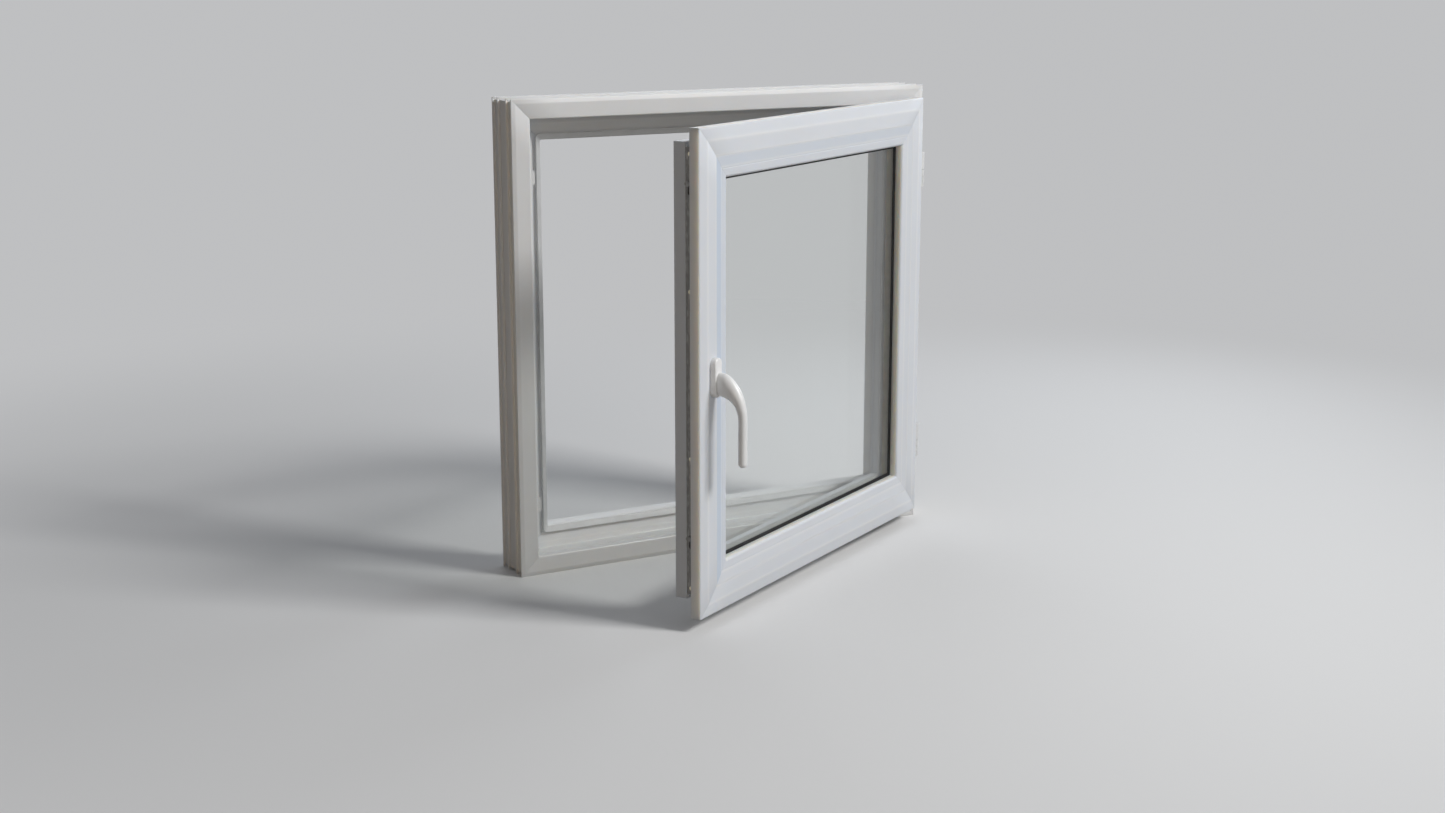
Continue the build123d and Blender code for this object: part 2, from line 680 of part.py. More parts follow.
# Drive rod: a flat bar behind the faceplate, with a rack cut in it beside the pinion
tooth_pitch = pi * tooth_module
rack_depth = rack_addendum + tooth_module + tooth_clearance
flank = tan(radians(pressure_angle))
gap_half = tooth_pitch / 4 + backlash / 2
rod_low = keep_heights["lower"] + keep_mouth - rod_overrun
rod_high = keep_heights["upper"] + keep_mouth + rod_overrun
with BuildPart() as drive_rod:
    with BuildSketch(Plane.XY.offset(rod_low)):
        with Locations((lock_side - flange_reach + rod_back, lock_axis_y)):
            Rectangle(rod_thick, rod_width, align=(Align.MIN, Align.CENTER))
    extrude(amount=rod_high - rod_low)
    rack_plane = Plane((spindle_x - pitch_radius, lock_axis_y, handle_height), x_dir=(1, 0, 0), z_dir=room)
    with BuildSketch(rack_plane):
        gap_mouth = gap_half + rack_addendum * flank
        gap_root = gap_half - (rack_depth - rack_addendum) * flank
        gap_corners = (
            (rack_addendum, -gap_mouth),
            (rack_addendum - rack_depth, -gap_root),
            (rack_addendum - rack_depth, gap_root),
            (rack_addendum, gap_mouth),
        )
        for count in range(rack_gap_count):
            with Locations((0, (count - rack_gap_count_below) * tooth_pitch)):
                Polygon(*gap_corners, align=None)
    extrude(amount=pinion_width / 2 + rod_play, both=True, mode=Mode.SUBTRACT)
    slot_plane = Plane((lock_side, lock_axis_y, handle_height), x_dir=(0, 1, 0), z_dir=(-1, 0, 0))
    with BuildSketch(slot_plane.offset(-faceplate_thick)):
        with Locations((0, rod_screw_rise - rod_travel / 2), (0, -rod_screw_rise - rod_travel / 2)):
            rod_slot = rod_travel + 2 * (screw_radius + slot_overrun)
            SlotOverall(rod_slot, 2 * (screw_radius + slot_play), rotation=90)
    extrude(amount=-rod_play - rod_thick, mode=Mode.SUBTRACT)
save_on_sash(drive_rod.part, "drive_rod")

# Cams: stems riveted to the rod, with heads that run in the gap beside the frame
cam_foot = faceplate_thick + rod_play
with BuildPart() as locking_cams:
    for place in cam_places:
        cam_plane = Plane(place, z_dir=left)
        with Locations(cam_plane.offset(-cam_foot)):
            Cylinder(cam_stem_radius, cam_foot + cam_reach, align=(Align.CENTER, Align.CENTER, Align.MIN))
        with Locations(cam_plane.offset(cam_reach - cam_head)):
            Cylinder(cam_radius, cam_head, align=(Align.CENTER, Align.CENTER, Align.MIN))
save_on_sash(locking_cams.part, "locking_cams")

# Gearbox: a case behind the faceplate that holds the pinion against the rack and takes the handle screws
tip_radius = pitch_radius + tooth_module
pinion_plane = Plane((spindle_x, lock_axis_y, handle_height), x_dir=(1, 0, 0), z_dir=room)
with BuildPart() as gearbox_case:
    with Locations((lock_side + faceplate_thick, lock_axis_y, handle_height)):
        from_plate = (Align.MIN, Align.CENTER, Align.CENTER)
        Box(case_end - plate_floor, case_thick, case_length, align=from_plate)
        rod_room = (case_inner - plate_floor, case_thick - 2 * case_wall, case_length)
        Box(*rod_room, align=from_plate, mode=Mode.SUBTRACT)
    with Locations(pinion_plane):
        Cylinder(tip_radius + tooth_clearance, case_thick - 2 * case_wall, mode=Mode.SUBTRACT)
        Cylinder(hub_radius + running_play, case_thick, mode=Mode.SUBTRACT)
    case_holes = [(spindle_x, lock_axis_y - case_half, z) for z in handle_screw_heights]
    drill(case_holes, room, handle_screw_radius + screw_play, case_thick)
save_on_sash(gearbox_case.part, "gearbox_case")

# Pinion: involute teeth, a hub at each side, and a square hole for the spindle
base_radius = pitch_radius * cos(radians(pressure_angle))
root_radius = pitch_radius - rack_addendum - tooth_clearance
flank_steps = 4


def spread(radius):
    """How far an involute has turned at a radius."""
    angle = acos(base_radius / radius)
    return tan(angle) - angle


tooth_half = pi / 2 / pinion_teeth - backlash / 2 / pitch_radius
flank_radii = [base_radius + (tip_radius - base_radius) * k / flank_steps for k in range(flank_steps + 1)]
flank_turns = [tooth_half + spread(pitch_radius) - spread(radius) for radius in flank_radii]
tooth_polar = [(root_radius / 2, flank_turns[0])] + list(zip(flank_radii, flank_turns))
tooth_upper = [(radius * cos(turn), radius * sin(turn)) for radius, turn in tooth_polar]
tooth_lower = [(x, -y) for x, y in reversed(tooth_upper)]
with BuildPart() as lock_pinion:
    with BuildSketch(pinion_plane):
        Circle(root_radius)
        with PolarLocations(0, pinion_teeth):
            Polygon(*tooth_upper, *tooth_lower, align=None)
    extrude(amount=pinion_width / 2, both=True)
    with BuildSketch(pinion_plane):
        Circle(hub_radius)
    extrude(amount=case_half - hinge_play, both=True)
    with BuildSketch(pinion_plane):
        Rectangle(spindle_size + spindle_play, spindle_size + spindle_play)
    extrude(amount=case_half, both=True, mode=Mode.SUBTRACT)
save_on_sash(lock_pinion.part, "lock_pinion")

# Handle base: a screwed backplate under a moulded cover
handle_plane = Plane((spindle_x, sash_face, handle_height), x_dir=(0, 0, 1), z_dir=room)
base_inner = base_width - 2 * base_wall
with BuildPart() as handle_backplate:
    with BuildSketch(handle_plane):
        SlotOverall(base_length - 2 * base_wall - spindle_play, base_inner - spindle_play)
        Circle(hub_radius, mode=Mode.SUBTRACT)
    extrude(amount=backplate_thick)
    for place in handle_screw_places:
        with Locations(Plane(place, z_dir=room)):
            hole = handle_screw_radius + screw_play
            CounterSinkHole(hole, handle_screw_head + screw_play, backplate_thick, 90)
save_on_sash(handle_backplate.part, "handle_backplate")

handle_screw_length = backplate_thick + groove_axis + case_half - web
handle_screws = screws(handle_screw_places, room, handle_screw_length, handle_screw_radius, handle_screw_head)
save_on_sash(handle_screws, "handle_screws")

with BuildPart() as handle_cover:
    with BuildSketch(handle_plane):
        SlotOverall(base_length, base_width)
    extrude(amount=base_height)
    fillet(handle_cover.faces().sort_by(Axis.Y)[0].edges(), radius=base_round)
    with BuildSketch(handle_plane):
        SlotOverall(base_length - 2 * base_wall, base_inner)
    extrude(amount=base_height - base_wall, mode=Mode.SUBTRACT)
    with BuildSketch(handle_plane):
        Circle(spigot_radius + running_play)
    extrude(amount=base_height, mode=Mode.SUBTRACT)
save_on_sash(handle_cover.part, "handle_cover")

# Lever: a neck lofted through ellipses from the base to a straight round grip, with a spigot and a socket
lever_base = base_height + lever_play
grip_start = 57.7
neck_sections = (
    (0.0, 0.161, 0.0, 19.0, 9.5),
    (0.28, 0.194, 13.3, 18.0, 9.6),
    (0.626, 0.36, 25.5, 14.0, 9.0),
    (0.832, 0.555, 39.7, 10.5, 8.3),
    (0.94, 0.763, 58.0, 8.4, 7.5),
    (1.0, 1.0, 90.0, grip_radius, grip_radius),
)
with BuildPart() as handle_lever:
    for out, drop, slant, half_thick, half_wide in neck_sections:
        rise = lever_base + out * (grip_standoff - lever_base)
        middle = (spindle_x, sash_face - rise, handle_height - drop * grip_start)
        along = (0, -cos(radians(slant)), -sin(radians(slant)))
        with BuildSketch(Plane(middle, x_dir=(1, 0, 0), z_dir=along)):
            Ellipse(half_thick, half_wide, rotation=90)
    loft()
    grip_plane = Plane(middle, x_dir=(1, 0, 0), z_dir=(0, 0, -1))
    with BuildSketch(grip_plane):
        Circle(grip_radius)
    extrude(amount=lever_reach - grip_start - grip_radius)
    with Locations(grip_plane.offset(lever_reach - grip_start - grip_radius)):
        Sphere(grip_radius)
    with BuildSketch(handle_plane.offset(base_height - base_wall)):
        Circle(spigot_radius)
    extrude(amount=base_wall + 2 * lever_play)
    with BuildSketch(handle_plane):
        Rectangle(spindle_size + spindle_play, spindle_size + spindle_play)
    extrude(amount=base_height + spindle_in_lever, mode=Mode.SUBTRACT)
save_on_sash(handle_lever.part, "handle_lever")

with BuildPart() as handle_spindle:
    with BuildSketch(handle_plane.offset(base_height + spindle_in_lever - lever_play)):
        Rectangle(spindle_size, spindle_size)
    extrude(amount=-(base_height + spindle_in_lever + groove_axis + case_half - 2 * lever_play))
save_on_sash(handle_spindle.part, "handle_spindle")
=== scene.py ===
# %% [markdown]
# # A side-hung window, opened into the room
# The object is a white plastic window of the kind that opens inwards. A fixed frame of hollow plastic
# lengths carries a sash on two hinges at the right. The sash holds a sealed glass unit, and a lever on its
# free side works a lock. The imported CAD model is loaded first, because it fixes every size and every moving
# part. Each visible plastic length is then built again as a smooth surface, and every piece gets a finish.

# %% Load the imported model
import json
from math import radians

import bmesh
import bpy
import numpy as np
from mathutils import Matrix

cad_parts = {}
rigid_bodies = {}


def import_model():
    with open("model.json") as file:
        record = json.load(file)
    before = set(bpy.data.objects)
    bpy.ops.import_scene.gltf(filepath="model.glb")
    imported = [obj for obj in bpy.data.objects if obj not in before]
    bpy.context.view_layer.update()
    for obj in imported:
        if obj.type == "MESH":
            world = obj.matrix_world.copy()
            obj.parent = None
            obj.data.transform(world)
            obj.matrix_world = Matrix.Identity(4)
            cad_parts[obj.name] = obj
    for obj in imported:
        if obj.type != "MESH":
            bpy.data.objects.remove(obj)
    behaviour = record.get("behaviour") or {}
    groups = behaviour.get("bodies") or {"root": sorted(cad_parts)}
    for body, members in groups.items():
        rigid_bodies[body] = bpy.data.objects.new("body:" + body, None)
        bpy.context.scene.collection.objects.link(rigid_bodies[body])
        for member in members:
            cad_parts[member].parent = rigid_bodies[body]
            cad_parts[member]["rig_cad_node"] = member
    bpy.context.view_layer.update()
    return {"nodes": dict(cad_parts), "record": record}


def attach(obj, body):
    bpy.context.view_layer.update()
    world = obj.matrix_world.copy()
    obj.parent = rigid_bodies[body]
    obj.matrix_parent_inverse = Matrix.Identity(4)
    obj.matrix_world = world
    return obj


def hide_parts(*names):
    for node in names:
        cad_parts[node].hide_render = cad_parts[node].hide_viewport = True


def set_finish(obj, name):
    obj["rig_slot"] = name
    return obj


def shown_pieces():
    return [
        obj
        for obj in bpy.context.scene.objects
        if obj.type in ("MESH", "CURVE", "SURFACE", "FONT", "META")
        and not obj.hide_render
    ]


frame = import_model()
nodes = frame["nodes"]

# %% [markdown]
# ## One set of sizes
# A window maker works in millimetres from the outer edge of a length inwards, so the profiles below do too.
# The sash could be drawn open at once, but then none of its edges would run along an axis. It is drawn shut,
# where it is square to the frame, and then turned about the hinge axis. That is how the CAD model was made,
# so every piece lands on its node with no fitting.

# %% Sizes and the turn about the hinges
FRAME_SIDE = 800.0
SASH_SIDE, SASH_BASE, SASH_FACE = 758.0, 21.0, -23.0
HINGE_X, HINGE_Y, OPEN_ANGLE = 388.0, -11.0, radians(29.6)


def open_sash(points):
    """Points of the shut sash in mm, turned about the upright hinge axis to the open angle."""
    x, y = points[..., 0] - HINGE_X, points[..., 1] - HINGE_Y
    c, s = np.cos(OPEN_ANGLE), np.sin(OPEN_ANGLE)
    return np.stack([HINGE_X + c * x - s * y, HINGE_Y + s * x + c * y, points[..., 2]], axis=-1)


print("free edge of the sash stands", round(SASH_SIDE * np.sin(OPEN_ANGLE)), "mm into the room")

# %% [markdown]
# ## Grids of points
# Nearly every piece here is a sheet of points with rows along a path and columns round a profile. A curve
# object could carry a profile too, but it gives no say over the cut at a mitre. In a sheet, a formula places
# every point. Two helpers number the sheet's squares and work out a UV map: how far each point lies round and
# along the piece, in metres, so that a finish can follow the length it is on.


# %% Squares and their UV map
def grid_faces(rows, cols, ring, loop):
    """Corner numbers of the squares of a rows by cols grid; ring joins the last column to the first,
    loop the last row to the first."""
    r = np.arange(rows if loop else rows - 1)[:, None]
    c = np.arange(cols if ring else cols - 1)[None, :]
    r2, c2 = (r + 1) % rows, (c + 1) % cols
    return np.stack([r * cols + c, r * cols + c2, r2 * cols + c2, r2 * cols + c], axis=-1).reshape(-1, 4)


def grid_uv(grid, ring, loop):
    """UV of those squares: distance round the profile, and distance along the path, both added up."""
    wide = np.concatenate([grid, grid[:, :1]], axis=1)
    tall = np.concatenate([grid, grid[:1]], axis=0)
    middle = len(grid) // 2
    u = np.concatenate([[0], np.cumsum(np.linalg.norm(np.diff(wide[middle], axis=0), axis=-1))])
    v = np.concatenate([[0], np.cumsum(np.linalg.norm(np.diff(tall[:, 0], axis=0), axis=-1))])
    r = np.arange(len(grid) if loop else len(grid) - 1)[:, None]
    c = np.arange(grid.shape[1] if ring else grid.shape[1] - 1)[None, :]
    r, c = np.broadcast_arrays(r, c)
    corners = [(u[c], v[r]), (u[c + 1], v[r]), (u[c + 1], v[r + 1]), (u[c], v[r + 1])]
    return np.stack([np.stack(pair, axis=-1) for pair in corners], axis=2).reshape(-1, 2)


print("a tube of 3 rings with 4 points each has", len(grid_faces(3, 4, True, False)), "squares")

# %% [markdown]
# ## From grids to a piece
# One helper turns sheets into a mesh. It closes a sheet round its columns, its rows or both, and puts a lid
# on open ends. Shading each face flat would show every square, and shading all of it smoothly would blur the
# edges, so a crease angle keeps flats flat and arcs round. The piece then rides on the body that carries it.


# %% The mesh helper
def make_piece(name, grids, body, slot, stands_for, ring=True, loop=False, crease=32, **weights):
    """One mesh from a list of grids in mm: squares from grid_faces, and lids on the ends that stay open.
    Weights are one number for each column, stored on every point under their name, for finishes to read."""
    points, faces, uvs, lids, start = [], [], [], [], 0
    for grid in grids:
        grid = np.asarray(grid) / 1000.0
        rows, cols = grid.shape[:2]
        points.append(grid.reshape(-1, 3))
        faces += (grid_faces(rows, cols, ring, loop) + start).tolist()
        uvs.append(grid_uv(grid, ring, loop))
        end = start + rows * cols
        if ring and not loop:
            lids += [list(range(start, start + cols)), list(range(end - cols, end))]
        start = end
    mesh = bpy.data.meshes.new(name)
    mesh.from_pydata(np.concatenate(points), [], faces + lids)
    layer = mesh.uv_layers.new(name="UVMap")
    flat = np.zeros((len(mesh.loops), 2))
    flat[: sum(map(len, uvs))] = np.concatenate(uvs)
    layer.data.foreach_set("uv", flat.ravel())
    for label, weight in weights.items():
        stored = mesh.attributes.new(label, "FLOAT", "POINT")
        stored.data.foreach_set("value", np.resize(weight, len(mesh.vertices)).astype(np.float32))
    return finish_piece(name, mesh, body, slot, stands_for, crease)


def finish_piece(name, mesh, body, slot, stands_for, crease):
    """Turn the faces outwards, shade smoothly up to the crease angle, and hang the piece on its body."""
    sheet = bmesh.new()
    sheet.from_mesh(mesh)
    bmesh.ops.recalc_face_normals(sheet, faces=sheet.faces)
    sheet.to_mesh(mesh)
    sheet.free()
    mesh.polygons.foreach_set("use_smooth", np.ones(len(mesh.polygons), dtype=bool))
    mesh.set_sharp_from_angle(angle=radians(crease))
    piece = bpy.data.objects.new(name, mesh)
    bpy.context.scene.collection.objects.link(piece)
    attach(piece, body)
    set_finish(piece, slot)
    if stands_for:
        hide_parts(*stands_for)
    return piece


print("mesh helper ready, for", len(nodes), "nodes to dress or replace")

# %% [markdown]
# ## Profiles with soft corners
# Extruded plastic has no sharp edge: the die and the pull of the melt leave every corner a little round, and
# those small arcs are what catches the light along a real window. A bevel modifier could round the edges
# afterwards, with one width for all. Here every corner has its own radius, so a profile is given as its
# corners and one radius for each, and the helper swaps each corner for an arc.


# %% Rounded outlines
def soft_outline(corners, steps=5, share=0.48):
    """Closed outline from rows of (inward, depth, radius): each corner becomes an arc that touches both of
    its sides, found by turning from one touching point to the other round the arc's centre. No arc takes up
    more than a share of the shorter side."""
    table = np.array(corners, dtype=float)
    points, radii = table[:, :2], table[:, 2]
    before, after = np.roll(points, 1, axis=0) - points, np.roll(points, -1, axis=0) - points
    far_before, far_after = np.linalg.norm(before, axis=1), np.linalg.norm(after, axis=1)
    before, after = before / far_before[:, None], after / far_after[:, None]
    half = np.arccos(np.clip((before * after).sum(axis=1), -1, 1)) / 2
    cut = np.minimum(radii / np.tan(half), share * np.minimum(far_before, far_after))
    radius, turn = cut * np.tan(half), np.pi - 2 * half
    bisector = (before + after) / np.linalg.norm(before + after, axis=1)[:, None]
    centre = points + bisector * (radius / np.sin(half))[:, None]
    first, last = points + before * cut[:, None] - centre, points + after * cut[:, None] - centre
    t = np.linspace(0, 1, steps)[None, :, None]
    turn = turn[:, None, None]
    arc = (np.sin((1 - t) * turn) * first[:, None] + np.sin(t * turn) * last[:, None]) / np.sin(turn)
    return (centre[:, None] + arc).reshape(-1, 2)


def filled(outline, step=1.5):
    """The outline with more points on its straight stretches, evenly spaced and at most a step apart."""
    ahead = np.roll(outline, -1, axis=0) - outline
    count = np.maximum(np.ceil(np.linalg.norm(ahead, axis=1) / step), 1).astype(int)
    index = np.repeat(np.arange(len(outline)), count)
    place = np.arange(count.sum()) - np.repeat(np.cumsum(count) - count, count)
    return outline[index] + ahead[index] * (place / count[index])[:, None]


sample = soft_outline([(0, 0, 1), (9, 0, 1), (9, 9, 1), (0, 9, 1)])
print("a square with round corners takes", len(sample), "points, and filled up", len(filled(sample)))

# %% [markdown]
# ## Where an edge looks different
# On a real window the thin ridges catch the light and look paler than the flats, and the sides just behind a
# front edge look creamy, because light comes through them. Here both are painted into the colour: a painted
# highlight on the ridges and a painted glow on the sides. A texture can't know where a ridge is, but the
# profile does. So two helpers give each point of an outline a weight, which the piece stores and its finish
# reads.


# %% Weights along an outline
def ridge_weight(outline, ridges):
    """A weight for each point: 1 on the nearest ridge, given as (inward, depth, reach), and falling off with
    the square of the distance, as a bell."""
    table = np.array(ridges, dtype=float)
    apart = np.linalg.norm(outline[:, None] - table[None, :, :2], axis=2)
    return np.exp(-((apart / table[None, :, 2]) ** 2)).max(axis=1)


def side_weight(outline, inward, front, reach, within=0.25):
    """A weight for each point on the side face at a distance inward: 1 at its front and falling off behind
    it by e for each reach, and 0 on every other face. On a grooved side, within takes in the grooves."""
    behind = outline[:, 1] - front
    on_side = (np.abs(outline[:, 0] - inward) < within) & (behind > 0)
    return np.where(on_side, np.exp(-np.maximum(behind, 0) / reach), 0)


sample = ridge_weight(np.array([(0.0, 0.0), (1.0, 0.0), (2.0, 0.0)]), [(0, 0, 1)])
print("weights 0, 1 and 2 mm from a ridge with a reach of 1 mm:", np.round(sample, 2).tolist())

# %% [markdown]
# ## Lengths cut at 45 degrees
# The four lengths of a frame or sash are sawn at 45 degrees and melted together. A boolean could saw them,
# but it would leave faces with many corners at the cuts. A point that lies w in from the outer edge starts w
# after the corner and stops w before the next one, so the cut comes from where each point starts. The weld
# leaves a fine sunk line across each corner, so the last fraction of a millimetre of each length dips
# a little.

# %% Carry a profile along one side
# starting corner as shares of the size, the way in and the way along
SIDES = {
    "sill": ((0.5, 0), (0, 0, 1), (-1, 0, 0)),
    "lock": ((-0.5, 0), (1, 0, 0), (0, 0, 1)),
    "head": ((-0.5, 1), (0, 0, -1), (1, 0, 0)),
    "hinge": ((0.5, 1), (-1, 0, 0), (0, 0, -1)),
}


def shrunk(outline, amount):
    """The outline moved into the material: each point goes against the normal of its two neighbours."""
    along = np.roll(outline, -1, axis=0) - np.roll(outline, 1, axis=0)
    normal = np.stack([along[:, 1], -along[:, 0]], axis=1) / np.linalg.norm(along, axis=1)[:, None]
    area = np.sum(outline[:, 0] * np.roll(outline[:, 1], -1) - np.roll(outline[:, 0], -1) * outline[:, 1])
    return outline - np.sign(area) * amount * normal


def mitred_length(outline, side, size, base, face, weld=0.4, dip=0.16, end=60.0):
    """Grid of one length: rows run from mitre to mitre, columns round the profile. Position = corner
    + inward distance + distance along, where the distance along starts at the inward distance. At both ends
    a row lies on the mitre, one where the weld stops and one where the plain middle starts."""
    (across, up), inward, along = SIDES[side]
    corner = np.array((across * size, face, base + up * size))
    low = shrunk(outline, dip)
    profiles = np.stack([low, outline, outline, outline, outline, low])
    run = np.array([0.0, weld, end, end, weld, 0.0])[:, None] + profiles[..., 0]
    from_start = (np.arange(len(run)) < len(run) // 2)[:, None]
    run = np.where(from_start, run, size - run)
    depth = profiles[..., 1, None] * np.array((0, 1, 0))
    return corner + profiles[..., :1] * np.array(inward) + run[..., None] * np.array(along) + depth


print("sides:", list(SIDES))

# %% [markdown]
# ## The fixed frame
# The profile has a face with a shallow bevel, a rebate that the sash closes into, a leaning stop that carries
# the seal, and outside four lands with grooves between them, where packers and foam grip. A fine line runs
# along the rebate floor for the lock's keeps. The frame could be one ring, but the real lengths are pieces of
# their own that meet in a weld, so one outline is carried along four of them.

# %% Frame lengths
frame_corners = [
    (0, 2.0, 0.6), (7, 0, 6.0), (32.5, 0, 2.0), (32.5, 16.5, 0.3), (31.3, 16.5, 0.2), (31.3, 18.5, 0.2),
    (32.5, 18.5, 0.3), (32.5, 45, 0.9), (43, 45, 2.5), (58, 47, 2.5), (70.4, 47, 1.2), (70.4, 77, 1.2),
    (67.4, 80, 1.2), (0, 80, 0.5), (0, 77, 0.4), (4, 77, 0.5), (4, 59.5, 0.5), (0, 59.5, 0.4),
    (0, 56.5, 0.4), (4, 56.5, 0.5), (4, 25.5, 0.5), (0, 25.5, 0.4), (0, 22.5, 0.4), (4, 22.5, 0.5),
    (4, 5, 0.5), (0, 5, 0.4),
]
frame_outline = filled(soft_outline(frame_corners))
# The edge weight paints a highlight on the frame's ridges. The side weight paints a creamy glow of light on
# the jambs' outer sides, brightest near the front.
frame_painted_highlight = ridge_weight(frame_outline, [(32.5, 0, 2.0), (43, 45, 1.5), (70.4, 47, 1.5)])
jamb_painted_glow = side_weight(frame_outline, 2.0, 2.6, 45.0, within=2.3)
frame_painted_glow = {"head": 0.0, "sill": 0.0, "lock": jamb_painted_glow, "hinge": jamb_painted_glow}
frame_names = {"head": "frame_head", "sill": "frame_sill", "lock": "frame_lock_jamb",
               "hinge": "frame_hinge_jamb"}
frame_lengths = [
    make_piece(f"plastic_{node}", [mitred_length(frame_outline, side, FRAME_SIDE, 0, 0)],
               "frame", "frame_plastic", [node], edge=frame_painted_highlight, side=frame_painted_glow[side])
    for side, node in frame_names.items()
]
print("frame lengths:", len(frame_lengths), "outline points:", len(frame_outline))

# %% [markdown]
# ## The sash
# The sash's profile laps over the frame with a bevelled flange. Behind the flange is the groove for the lock,
# and on the inside the rebate that takes the glass. The beads that hold the glass could share its outline,
# but on a real sash they come out when a pane breaks. They are separate lengths with a sloping face and
# a rounded nose, pressed in and not welded, so their corners meet in a finer line. The ones at the left and
# the top get painted shade, a cooler and darker tone, through one more weight.

# %% Sash lengths and glazing beads
sash_corners = [
    (0, 2.5, 2.4), (20.5, 0, 12.0), (45, 0, 0.15), (45, 7, 0.3), (53.5, 7, 0.3), (53.5, 47, 0.3),
    (79.5, 47, 0.8), (79.5, 58, 1.5), (75.5, 62, 1.5), (23, 62, 1.0), (23, 41.1, 0.4), (25, 41.1, 0.2),
    (25, 39, 0.2), (29.2, 39, 0.2), (29.2, 27, 0.2), (25, 27, 0.2), (25, 24.9, 0.2), (23, 24.9, 0.4),
    (23, 20, 0.8), (0, 20, 1.2),
]
BEAD_GROOVE, BEAD_NOSE = 64.0, 79.5
bead_corners = [
    (45.03, 0.06, 0.12), (63.9, 1.75, 0.8), (64.3, 1.95, 0.4), (64.8, 1.95, 0.4), (65.2, 1.75, 0.8),
    (79.5, 2.8, 4.6), (79.5, 16.5, 0.4), (53.6, 16.5, 0.3), (53.6, 7.1, 0.3), (45.03, 7.1, 0.3),
]
sash_outline = filled(soft_outline(sash_corners))
bead_outline = filled(soft_outline(bead_corners, 7))
# The edge weights paint a highlight on the ridges of the sash and its beads.
sash_painted_highlight = ridge_weight(sash_outline, [(20.5, 0, 2.5), (44.5, 0, 2.0)])
bead_painted_highlight = ridge_weight(bead_outline, [(45.5, 0.5, 1.2), (62.0, 1.6, 1.8)])
# The side weights paint a creamy glow of light that came through the thin wall. As glow, the same weights
# also deepen the scattering inside.
sash_scatter_and_painted_glow = side_weight(sash_outline, 0.0, 3.5, 13.0)
bead_scatter_and_painted_glow = side_weight(bead_outline, BEAD_NOSE, 5.0, 60.0)
# Painted shade: the beads at the left and the top are toned cooler and darker, most on their sloping face.
cool_face = np.where(bead_outline[:, 0] < BEAD_GROOVE, 1.0, 0.3)
bead_cool = {"head": 0.4 * cool_face, "sill": 0.0, "lock": cool_face, "hinge": 0.0}
sash_names = {"head": "sash_top_rail", "sill": "sash_bottom_rail", "lock": "sash_lock_stile",
              "hinge": "sash_hinge_stile"}
bead_names = {"head": "top_bead", "sill": "bottom_bead", "lock": "lock_side_bead", "hinge": "hinge_side_bead"}
sash_place = (SASH_SIDE, SASH_BASE, SASH_FACE)
sash_lengths = [
    make_piece(f"plastic_{node}", [open_sash(mitred_length(sash_outline, side, *sash_place))],
               "sash", "sash_plastic", [node], edge=sash_painted_highlight, side=sash_scatter_and_painted_glow, glow=sash_scatter_and_painted_glow)
    for side, node in sash_names.items()
]
beads = [
    make_piece(f"plastic_{node}",
               [open_sash(mitred_length(bead_outline, side, *sash_place, weld=0.2, dip=0.1))],
               "sash", "sash_plastic", [node], edge=bead_painted_highlight, side=bead_scatter_and_painted_glow, glow=bead_scatter_and_painted_glow,
               cool=bead_cool[side])
    for side, node in bead_names.items()
]
print("sash lengths:", len(sash_lengths), "beads:", len(beads))

# %% [markdown]
# ## The seal on the stop
# The frame's seal is one length of soft pale rubber. A thin leaf leans out from its root, and the sash
# presses the leaf back when it shuts. Mitred lengths would look like hard plastic. The real seal is bent
# round the corners of the stop, so its profile goes round in one ring and turns about a centre in each.


# %% A bent ring of rubber
def bent_ring(outline, size, base, face, edge, bend, steps=10, least=0.15):
    """A profile carried round a square with round corners: in each corner a point turns about a centre that
    lies edge + bend inside both sides, at the radius bend less its distance in from the edge. Points that lie
    deeper than that centre turn about one of their own at the least radius, in a nearly sharp corner."""
    turn = np.radians(np.concatenate([np.linspace(0, 90, steps) + 90 * k for k in range(4)]))[:, None]
    radius = np.maximum(bend + edge - outline[None, :, 0], least)
    reach = size / 2 - outline[None, :, 0] - radius
    centre_x = np.repeat([1, -1, -1, 1], steps)[:, None] * reach
    centre_z = np.repeat([1, 1, -1, -1], steps)[:, None] * reach
    x, z = centre_x + radius * np.cos(turn), centre_z + radius * np.sin(turn)
    return np.stack([x, np.broadcast_to(face + outline[:, 1], x.shape), z + base + size / 2], axis=-1)


SEAL_EDGE, SEAL_BEND = 60.0, 7.0
leaf_seal = soft_outline([
    (69.4, 47.3, 0.3), (69.4, 45.0, 1.2), (60.3, 40.3, 0.5), (59.6, 41.3, 0.5), (62.5, 44.4, 1.0),
    (60.8, 45.6, 0.5), (60.8, 47.3, 0.3),
])
make_piece("seal_on_stop", [bent_ring(leaf_seal, FRAME_SIDE, 0, 0, SEAL_EDGE, SEAL_BEND)], "frame",
           "pale_gasket", ["frame_gasket"], loop=True, crease=50)
print("the seal on the stop turns its corners at a radius of", SEAL_BEND, "mm")

# %% [markdown]
# ## Seals with square corners
# The seal on the sash is cut into runs where the hinge arms pass. The seals that bed the glass, black inside
# and pale outside, have mitred corners and a thin lip that rests on the pane. The helper for lengths would
# make four pieces of each. Carried past a list of corners, the same profile gives an open run or a closed
# ring in one sheet.


# %% Runs of rubber
def square_run(outline, size, base, face, corners):
    """A profile carried past points given as (across, up, rise): across and up are -1, 0 or 1 times the
    half side less the distance in from the edge, and rise is a height used where up is 0."""
    table = np.array(corners, dtype=float)
    reach = size / 2 - outline[None, :, 0]
    x = table[:, :1] * reach
    z = np.where(table[:, 1:2] == 0, table[:, 2:3], table[:, 1:2] * reach + base + size / 2)
    y = np.broadcast_to(face + outline[None, :, 1], x.shape)
    return np.stack([x, y, z], axis=-1)


